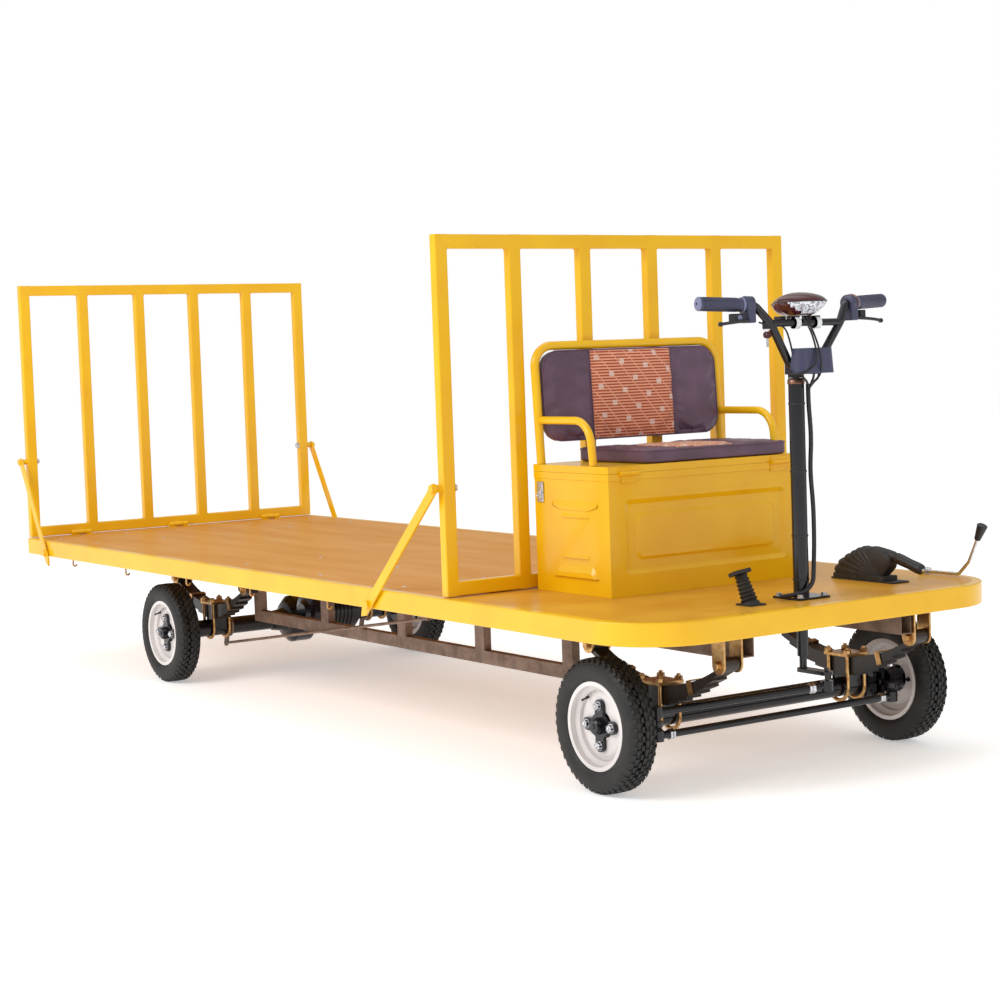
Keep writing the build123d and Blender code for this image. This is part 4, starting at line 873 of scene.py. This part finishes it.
# Grips, switches and levers on the handlebar
gripSettings = {
    "end": (1841.0, 322.0, 1255.0),
    "inward": (0.188, -0.981, -0.042),
    "radius": 18.2,
    "length": 124.0,
    "groove": 0.7,
    "ribs": 20,
    "ribHeight": 0.8,
    "ribInset": 12.0,
}
housingSettings = {
    # places are the distance past the grip's inner end, forward of the grip and above it
    "collarAt": (9.0,),
    "collar": ((0, 21), (1, 23), (24, 23), (25.5, 20.5), (27, 14)),
    "bodyAt": (21.0, 1.0, -24.0),
    "leverAt": (18.0, 16.0, -40.0),
    "bend": (44.0, -44.0),
    "tip": (40.0, -52.0),
    "leverRadius": 4.2,
    "ball": ((0, 3), (2, 6), (6, 7), (10, 6), (12, 3)),
    "sides": (("right", -1, 42.0), ("left", 1, 62.0)),
}
switchSettings = {
    # places are the side and then the distance in from the grip's end, forward of the grip and above it
    "ringAt": (1, 136.0),
    "bossAt": (1, 108.0, 6.0, -32.0),
    "hornAt": (-1, 104.0, 10.0, -36.0),
    "buttonOff": (14.5, 0, 2),
    "buttonFacing": (1, 0, 0.1),
    "lockAt": (1882.0, -127.0, 1208.0),
    "fobOff": (0, 0, -37),
    "fobFacing": (0.85, -0.5, 0.1),
    "bladeOff": (0, 0, -46),
}


def alongGrip(side, distance, across=0.0, rise=0.0):
    # A point by its distance in from the grip's end, forward of the grip and above it.
    end = np.array(gripSettings["end"]) * [1, side, 1]
    inward = unit(np.array(gripSettings["inward"]) * [1, side, 1])
    forward = unit(np.cross(inward, [0, 0, 1])) * -side
    return end + inward * distance + forward * across + np.array([0, 0, rise]), inward


def makeGrip(side, name, settings):
    radius, length, inset = settings["radius"], settings["length"], settings["ribInset"]
    core = radius - settings["groove"]
    sleeve = turned([(-1.0, radius - 2), (0.6, radius), (7, radius), (9, core), (length - 8, core),
                     (length - 6, radius), (length, radius), (length + 0.6, radius - 2)], count=48)
    rib = block((core - 0.5, -1.0, inset), (core + settings["ribHeight"], 1.0, length - inset))
    place = [alongGrip(side, 0)]
    grip = joined([sleeve, around(rib, settings["ribs"])])
    addMesh("grip_" + name, copies(grip, place), slatePlastic, "steering")
    flange = [(length + 1, radius), (length + 2, radius + 2), (length + 7, radius + 2), (length + 8, radius)]
    cap = turned([(-3.4, 9), (-2.6, radius - 2.6), (-0.6, radius - 0.4), (2, radius + 0.3)], count=40)
    addMesh("grip_caps_" + name, copies(joined([cap, turned(flange, count=40)]), place), slateCap, "steering")
    # A thin near-black disc, slightly out from the closed end cap, stands in for its hole: painted shade, not
    # a real opening.
    shadeDisc = turned([(-4.2, 2.8), (-3.0, 3.2)], count=16)
    addMesh("grip_hole_shade_" + name, copies(shadeDisc, place), holeShade, "steering")


def makeHousing(side, name, lever, settings):
    # Housing clamped beside the grip, with a collar round the bar and a body that hangs below it.
    length = gripSettings["length"]
    places = [settings[key] for key in ("collarAt", "bodyAt", "leverAt")]
    collar, body, foot = [alongGrip(side, length + past, *off) for past, *off in places]
    addMesh("housing_collar_" + name, turned(settings["collar"], *collar, 40), slatePlastic, "steering")
    addMesh("housing_" + name, pad(20, 13, 6, -22, 22, 2.5, body[0]), slatePlastic, "steering")
    tip = alongGrip(side, lever, *settings["tip"])[0]
    bend = alongGrip(side, (length + settings["leverAt"][0] + lever) / 2, *settings["bend"])[0]
    addTubes("hand_lever_" + name, [[foot[0], bend, tip]], settings["leverRadius"], mouldedBlack, "steering")
    ball = turned(settings["ball"], tip - [0, 0, settings["ball"][-1][0] / 2], count=20)
    addMesh("lever_ball_" + name, ball, mouldedBlack, "steering")


def makeSwitches(settings):
    # Throttle ring and boss on the left grip, horn on the right, and the key lock between them.
    ring = turned([(0, 21.5), (0.8, 24.6), (4.2, 24.6), (5, 21.5)], *alongGrip(*settings["ringAt"]), 40)
    addMesh("throttle_ring", ring, copperRing, "steering")
    boss = pad(13, 11, 5, -12, 12, 2, alongGrip(*settings["bossAt"])[0])
    addMesh("throttle_boss", boss, mouldedBlack, "steering")
    horn = alongGrip(*settings["hornAt"])[0]
    addMesh("horn_switch", pad(15, 14, 5, -11, 13, 2, horn), mouldedBlack, "steering")
    place = (horn + settings["buttonOff"], settings["buttonFacing"])
    rim, cap = turned([(0, 7), (3, 7), (4.5, 5)], *place, 20), turned([(3.5, 4.0), (5.5, 3.4)], *place, 16)
    addMesh("horn_button", joined([rim, cap]), slateCap, "steering")
    lock = np.array(settings["lockAt"])
    barrel = turned([(0, 11), (1.5, 12.5), (20, 12.5), (22, 10)], lock, (0, 0, -1), 32)
    addMesh("lock_barrel", barrel, mouldedBlack, "steering")
    rim = turned([(21.5, 10.5), (24.5, 10.0), (25.0, 7.5)], lock, (0, 0, -1), 32)
    addMesh("lock_rim", rim, brightZinc, "steering")
    fob = copies(pad(11, 9, 8, -2.4, 2.4, 1.2), [(lock + settings["fobOff"], settings["fobFacing"])])
    addMesh("key_fob", fob, meterBrown, "steering")
    blade = moved(block((-0.9, -3.6, -22), (0.9, 3.6, 14)), lock + settings["bladeOff"])
    addMesh("key_blade", blade, brightZinc, "steering")


for name, side, lever in housingSettings["sides"]:
    makeGrip(side, name, gripSettings)
    makeHousing(side, name, lever, housingSettings)
makeSwitches(switchSettings)
report("grips")

# Meter: a hull that narrows to its tail, domed above, with a faceted lens under its nose
meterSettings = {
    "centre": (1864.0, 0.0),
    "half": 74.0,
    "tail": 92.0,
    "taper": 0.42,
    "base": 1218.0,
    "droop": 9.0,
    "droopPower": 1.6,
    "columns": 72,
    "lensSweeps": (0.0, 34.0, 50.0, 60.0, 66.0),
    "trimHeight": 37.0,
    "trimProud": 1.008,
    "trimRadius": 1.1,
    "clamps": (("right", -36.0), ("left", 36.0)),
    "cross": (1890.0, 1200.0),
    "plugs": ((1846, -50, 1209.5), (1830, 8, 1208.5), (1850, 44, 1209.5)),
}
meterLevels = (
    # height above the base, size of the outline there
    (0.0, 0.40), (5.0, 0.58), (13.0, 0.76), (22.0, 0.89), (31.0, 0.965), (37.0, 1.0),
    (40.0, 0.99), (47.0, 0.90), (53.0, 0.75), (58.0, 0.52), (61.0, 0.28), (62.0, 0.04),
)


def makeMeter(settings, levels):
    # Half width falls from the nose's circle to the tail by a power of the share of the way back.
    columns = settings["columns"]
    turn = np.arange(columns) * 2 * np.pi / columns
    ahead, aside = np.cos(turn), np.sin(turn)
    back = np.clip(-ahead, 0, 1)
    x = np.where(ahead > 0, settings["half"] * ahead, -settings["tail"] * back)
    y = settings["half"] * aside * (1 - settings["taper"] * back ** 0.8)
    sink = settings["droop"] * back ** settings["droopPower"]
    height, size = np.array(levels).T[:, :, None]
    middleX, middleY = settings["centre"]
    z = settings["base"] + height - size * sink
    points = np.stack([middleX + size * x, middleY + size * y, z], axis=-1)
    last = (len(levels) - 1) * columns
    faces = gridFaces(len(levels), columns)
    faces += [list(range(columns))[::-1], list(range(last, last + columns))]
    hull = addMesh("meter_dressed", (points.reshape(-1, 3), faces), meterBrown, "steering", 50)
    hull.data.materials.append(lampFacets)
    # The lens takes the faces of the lowest rows, each row as far round the nose as its sweep in degrees.
    row, column = np.divmod(np.arange(len(faces) - 2), columns)
    middle = np.degrees((column + 0.5) * 2 * np.pi / columns)
    sweeps = np.array(settings["lensSweeps"])
    reach = np.where(row < len(sweeps), sweeps[np.minimum(row, len(sweeps) - 1)], 0)
    lens = np.minimum(middle, 360 - middle) < reach
    hull.data.polygons.foreach_set("material_index", np.append(lens, [False, False]).astype(np.int32))
    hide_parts("meter")
    proud = settings["trimProud"]
    level = settings["base"] + settings["trimHeight"] - sink
    trim = np.column_stack([middleX + proud * x, middleY + proud * y, level])
    addTubes("meter_trim", [trim], settings["trimRadius"], mouldedBlack, "steering", True)
    clamp = turned([(-8, 15.6), (-7, 16.6), (7, 16.6), (8, 15.6)], count=32)
    crossX, crossZ = settings["cross"]
    for name, clampY in settings["clamps"]:
        place = [((crossX, clampY, crossZ), (0, 1, 0))]
        addMesh("meter_clamp_" + name, copies(clamp, place), lampWhite, "steering")
    plugs = [pad(14, 10, 3, -9, 9, 1.5, at) for at in settings["plugs"]]
    addMesh("meter_plugs", joined(plugs), mouldedBlack, "steering")


makeMeter(meterSettings, meterLevels)

# Cables from the meter and levers, gathered in front of the cover, and the short ones below it
barCables = {
    # radius, material, routes
    "meter_cables": (2.6, mouldedBlack, (
        ((1905, -22, 1214), (1926, -20, 1186), (1936, -14, 1150), (1944, -12, 1112), (1946, -24, 1084),
         (1934, -62, 1066), (1915, -78, 1068), (1893, -70, 1078)),
        ((1905, -10, 1214), (1928, -12, 1180), (1942, -6, 1140), (1947, -2, 1104), (1940, 6, 1066),
         (1900, 22, 1050)),
    )),
    "lever_cables": (2.4, mouldedBlack, (
        ((1876, -150, 1204), (1892, -128, 1194), (1896, -96, 1196), (1890, -70, 1186), (1886, -52, 1150),
         (1882, -40, 1112), (1874, -30, 1098)),
        ((1876, 152, 1204), (1892, 128, 1196), (1890, 96, 1170), (1884, 66, 1140), (1878, 44, 1104)),
    )),
    "yellow_cable": (2.2, yellowEnamel, (
        ((1884, -104, 1192), (1882, -86, 1172), (1880, -74, 1140), (1878, -58, 1104), (1870, -34, 1090)),
    )),
    "under_cover_cables": (3.2, mouldedBlack, (
        ((1900, 34, 1072), (1896, 36, 1056), (1880, 33, 1046), (1868, 28, 1030)),
        ((1906, -30, 1072), (1900, -26, 1058), (1884, 6, 1048), (1870, 24, 1026)),
        ((1908, 8, 1070), (1902, 12, 1056), (1884, 20, 1044), (1868, 25, 1022)),
    )),
}
for name, (radius, material, routes) in barCables.items():
    addTubes(name, routes, radius, material, "steering")
report("meter and cables")

# Column: ties round the cable, a collar at its top, and the bolts of its base plate
columnSettings = {
    "x": 1847.0,
    "ties": (989.0, 810.0, 640.0, 524.0),
    "tie": ((-2.4, 21.1), (2.4, 21.1), (2.4, 22.4), (-2.4, 22.4)),
    "collar": ((1040, 21.1), (1041, 22.8), (1050, 22.8), (1052, 21.6), (1055, 18.5)),
    "boltReach": 42.0,
    "plateTop": 481.0,
    "bolt": (14.0, 6.5),
}


def makeColumn(settings):
    x, reach = settings["x"], settings["boltReach"]
    ties = [hooped(settings["tie"], (x, 0, z), (0, 0, 1), 40) for z in settings["ties"]]
    addMesh("column_ties", joined(ties), mouldedBlack, "chassis")
    addMesh("column_collar", turned(settings["collar"], (x, 0, 0), count=40), copperRing, "chassis")
    places = [((x + a * reach, b * reach, settings["plateTop"]), (0, 0, 1)) for a in (-1, 1) for b in (-1, 1)]
    boltSet("column_bolts", places, brightZinc, "chassis", *settings["bolt"])


makeColumn(columnSettings)

# Bench: hasp and staple on its side, leaves and rivets of its hinges
benchSettings = {
    "hasp": (1155.0, -345.3, 754.0),
    "staple": ((1149, -348, 744), (1149, -360, 744), (1161, -360, 744), (1161, -348, 744)),
    "stapleRadius": 2.4,
    "front": 1471.7,
    "leaves": ((-301.0, -244.0), (235.0, 303.0)),
    "leafLevels": (785.0, 806.0),
    "leafThickness": 2.0,
    "rivets": (-293.0, -252.0, 243.0, 295.0),
    "rivetZ": 791.0,
    "rivet": (3.4, 1.8),
}


def makeBenchMetal(settings):
    points, faces = joined([pad(15, 29, 3, 0, 2.6, 0.8), pad(10, 12, 6, 2.4, 6.0, 1.2, (0, -8, 0))])
    # Stands the hasp up against the bench's side: its own Y is turned up, and its Z out from the side.
    upright = np.column_stack([points[:, 0], -points[:, 2], points[:, 1]])
    addMesh("hasp", moved((upright, faces), settings["hasp"]), brightZinc, "chassis")
    addTubes("hasp_staple", [settings["staple"]], settings["stapleRadius"], brightZinc, "chassis")
    front, thickness = settings["front"], settings["leafThickness"]
    foot, top = settings["leafLevels"]
    leaves = [block((front, low, foot), (front + thickness, high, top)) for low, high in settings["leaves"]]
    addMesh("bench_hinge_leaves", joined(leaves), yellowEnamel, "chassis")
    rivets = [((front + thickness - 0.2, y, settings["rivetZ"]), (1, 0, 0)) for y in settings["rivets"]]
    addMesh("bench_rivets", copies(domeHead(*settings["rivet"]), rivets), yellowEnamel, "chassis")


makeBenchMetal(benchSettings)
report("column and bench")

# Fasteners of the springs and the load board
springSettings = {
    "axles": (wheelSettings["frontX"], wheelSettings["rearX"]),
    "y": 335.0,
    "eyeReach": 275.0,
    "earReach": 32.2,
    "eyeZ": 343.75,
    "eyeBolt": (19.0, 9.0),
    "clipReach": 150.0,
    "clipHalf": (25.6, 28.5),
    "clipWide": 9.0,
    "centreZ": 807.17,
    "radius": 541.67,
}
screwSettings = {
    "bars": (-1850.0, -1500.0, -250.0, 250.0, 750.0),
    "across": (-560.0, -280.0, 280.0, 560.0),
    "top": 475.0,
    "head": (7.5, 1.6),
}


def makeSpringMetal(settings):
    y, signs = settings["y"], (-1, 1)
    ends = [axle + end * settings["eyeReach"] for axle in settings["axles"] for end in signs]
    eyes = [((x, side * (y + face * settings["earReach"]), settings["eyeZ"]), (0, side * face, 0))
            for x in ends for side in signs for face in signs]
    boltSet("spring_eye_bolts", eyes, yellowZinc, "chassis", *settings["eyeBolt"])
    inner, outer = settings["clipHalf"]
    wide = settings["clipWide"]
    strap = joined([
        block((-outer, -wide, -31), (-inner, wide, 4.4)),
        block((inner, -wide, -31), (outer, wide, 4.4)),
        block((-outer, -wide, 3.8), (outer, wide, 6.2)),
        block((-outer, -wide, -32), (outer, wide, -29.6)),
    ])
    # Each clip leans with the arc of the leaves: the sine of the lean is its reach over the arc's radius.
    lean = settings["clipReach"] / settings["radius"]
    rise = math.cos(math.asin(lean))
    z = settings["centreZ"] - settings["radius"] * rise
    straps = [((axle + end * settings["clipReach"], side * y, z), (-end * lean, 0, rise))
              for axle in settings["axles"] for end in signs for side in signs]
    addMesh("spring_clips", copies(strap, straps), yellowZinc, "chassis")


makeSpringMetal(springSettings)
screws = [((x, y, screwSettings["top"]), (0, 0, 1))
          for x in screwSettings["bars"] for y in screwSettings["across"]]
addMesh("deck_screws", copies(domeHead(*screwSettings["head"]), screws), brightZinc, "chassis")

# Steering joints: pleated boots over the ball studs, and lock nuts on the rods
jointSettings = {
    "ball": (1749.0, 420.0, 148.0),
    "boot": (13.5, 23.5, 13.0, 8.5, 2, 1.4),
    "nuts": ((34.0, 9.0), (44.0, 7.0)),
    "nutWidth": 25.0,
    "linkTop": (1937.0, 0.0, 250.0),
    "linkFoot": (1749.0, -420.0, 210.0),
}


def pleats(low, high, radiusLow, radiusHigh, folds, depth):
    # Rows of (height, radius) for a boot whose folds swell and fall between two radii.
    step = np.linspace(0, 1, 4 * folds + 1)
    radius = radiusLow + (radiusHigh - radiusLow) * step + depth * np.sin(2 * np.pi * folds * step) ** 2
    return np.column_stack([low + (high - low) * step, radius])


def makeJoints(settings):
    x, y, z = settings["ball"]
    boot = turned(pleats(*settings["boot"]), count=32)
    boots = [((x, side * y, z), (0, 0, 1)) for side in (-1, 1)]
    addMesh("tie_rod_boots", copies(boot, boots), pleatRubber, "tie_rod")
    width = settings["nutWidth"]
    nuts = joined([moved(hexHead(width, height), (0, 0, at)) for at, height in settings["nuts"]])
    rod = [((x, side * y, z), (0, -side, 0)) for side in (-1, 1)]
    addMesh("tie_rod_nuts", copies(nuts, rod), brightZinc, "tie_rod")
    way = np.subtract(settings["linkFoot"], settings["linkTop"])
    addMesh("drag_link_nuts", copies(nuts, [(settings["linkTop"], way)]), brightZinc, "drag_link")


makeJoints(jointSettings)
report("fasteners")

# Gates: weld beads where their bars meet their rails, and the bolts of their stays
gateSettings = {
    "gates": (("front_gate", 1088.0), ("rear_gate", -1985.0)),
    "bars": (-369.0, -123.0, 123.0, 369.0),
    "beadOff": 20.4,
    "levels": (518.6, 1439.4),
    "beadPoints": (-13.0, -5.2, 5.2, 13.0),
    "beadRadius": 2.0,
    "stayAt": (594.8, 780.0),
    "stayBolt": (19.0, 9.0),
}


def gateBeads(x, settings):
    return [[(x + r, bar + side * settings["beadOff"], z) for r in settings["beadPoints"]]
            for bar in settings["bars"] for side in (-1, 1) for z in settings["levels"]]


for body, x in gateSettings["gates"]:
    addTubes("weld_" + body, gateBeads(x, gateSettings), gateSettings["beadRadius"], yellowEnamel, body)

# Shift lever's knob: a sleeve along the end of the lever
knobSettings = {
    "profile": ((-1, 5.5), (0, 8.9), (44, 15.2), (46, 13.4)),
    "foot": (1914.0, 600.0, 585.0),
    "along": (0.447, 0, 0.894),
}
knob = turned(knobSettings["profile"], knobSettings["foot"], knobSettings["along"], 32)
addMesh("lever_knob", knob, mouldedBlack, "chassis")

# Handbrake: a boot that fans out from its front foot in pleats, and the moulded grip with its button
bootSettings = {
    "pivot": (1757.0, 395.0, 487.0),
    "rows": 96,
    "pleats": 6,
    "pleatFrom": 126.0,
    "pleatDepth": 6.0,
    "plate": (1698.0, 395.0, 475.0),
    "skirt": (1679.5, 395.0, 475.0),
    "gripFrom": (1768.0, 395.0, 556.0),
    "gripAlong": (99.0, 0.0, -29.0),
    "grip": ((0, 12), (26, 14), (38, 12), (42, 15.4), (60, 15.8), (90, 14.8), (124, 15.8), (136, 14.5),
             (140, 10)),
    "button": ((138, 5.2), (144, 5.2), (146, 3.6)),
}
bootOutline = (
    # angle about the pivot in degrees, reach, half width
    (44.0, 50.0, 17.0), (58.0, 72.0, 19.0), (75.0, 76.0, 20.0), (100.0, 84.0, 22.0), (127.0, 101.0, 25.0),
    (143.0, 119.0, 27.0), (152.0, 132.0, 28.0), (160.0, 149.0, 29.0), (168.0, 168.0, 30.0),
    (178.0, 182.0, 30.0),
)
bootSection = (
    # share of the reach, share of the half width, share of the pleat's swell
    (0.06, -0.75, 0.0), (0.45, -1.0, 0.5), (0.84, -1.0, 1.0), (0.96, -0.74, 1.0), (1.0, -0.36, 1.0),
    (1.0, 0.36, 1.0), (0.96, 0.74, 1.0), (0.84, 1.0, 1.0), (0.45, 1.0, 0.5), (0.06, 0.75, 0.0),
)


def makeBoot(settings, outline, section):
    # Pleats swell the reach and the width by the size of a sine that passes once for each pleat.
    angles, reaches, halves = np.array(outline).T
    reachShare, halfShare, swellShare = np.array(section).T
    angle = np.linspace(angles[0], angles[-1], settings["rows"])[:, None]
    share = np.clip((angle - settings["pleatFrom"]) / (angles[-1] - settings["pleatFrom"]), 0, 1)
    swell = settings["pleatDepth"] * np.abs(np.sin(np.pi * settings["pleats"] * share)) * swellShare
    radius = (np.interp(angle, angles, reaches) + swell) * reachShare
    across = (np.interp(angle, angles, halves) + swell / 2) * halfShare
    x, y, z = settings["pivot"]
    turn = np.radians(angle)
    points = np.stack([x + radius * np.cos(turn), y + across, z + radius * np.sin(turn)], axis=-1)
    points = points.reshape(-1, 3)
    columns = len(section)
    caps = [list(range(columns)), list(range(len(points) - columns, len(points)))[::-1]]
    fan = points, [face[::-1] for face in gridFaces(settings["rows"], columns)] + caps
    plate = pad(126, 33, 8, 0, 4.2, 0.8, settings["plate"])
    skirt = pad(102.5, 31, 11, 3.6, 17.0, 1.5, settings["skirt"])
    boot = addMesh("boot_dressed", joined([fan, plate, skirt]), pleatRubber, "chassis", 40)
    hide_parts("handbrake")
    place = (settings["gripFrom"], settings["gripAlong"])
    addMesh("brake_grip", turned(settings["grip"], *place, 40), mouldedBlack, "chassis")
    addMesh("brake_button", turned(settings["button"], *place, 24), brightZinc, "chassis")


makeBoot(bootSettings, bootOutline, bootSection)

# Tacks along the front rim, and the stays' bolts on the inner faces of the gates' posts
tackSettings = {
    "z": 474.4,
    "pitch": 105,
    "frontX": 1992.0,
    "frontSpan": (-420, 421),
    "sideY": 642.0,
    "sideSpan": (1120, 1760),
    "head": (5.5, 1.8),
}


def makeTacks(settings):
    z, pitch = settings["z"], settings["pitch"]
    tacks = [((settings["frontX"], y, z), (0, 0, 1)) for y in np.arange(*settings["frontSpan"], pitch)]
    tacks += [((x, side * settings["sideY"], z), (0, 0, 1))
              for side in (-1, 1) for x in np.arange(*settings["sideSpan"], pitch)]
    addMesh("rim_tacks", copies(domeHead(*settings["head"]), tacks), yellowEnamel, "chassis")


makeTacks(tackSettings)
stayY, stayZ = gateSettings["stayAt"]
for body, x in gateSettings["gates"]:
    bolts = [((x, side * stayY, stayZ), (0, -side, 0)) for side in (-1, 1)]
    boltSet("stay_nuts_" + body, bolts, brightZinc, body, *gateSettings["stayBolt"])

# Motor cables, led forward under the deck
motorCables = (
    ((-800, -40, 300), (-790, -46, 330), (-740, -60, 348), (-640, -80, 352), (-520, -90, 350)),
    ((-770, 0, 300), (-760, -6, 330), (-700, -30, 346), (-600, -70, 350), (-520, -80, 348)),
    ((-750, 40, 300), (-740, 30, 334), (-690, -10, 350), (-600, -60, 354), (-520, -70, 352)),
)
addTubes("motor_cables", motorCables, 5.0, mouldedBlack, "chassis")
report("beads and cables")
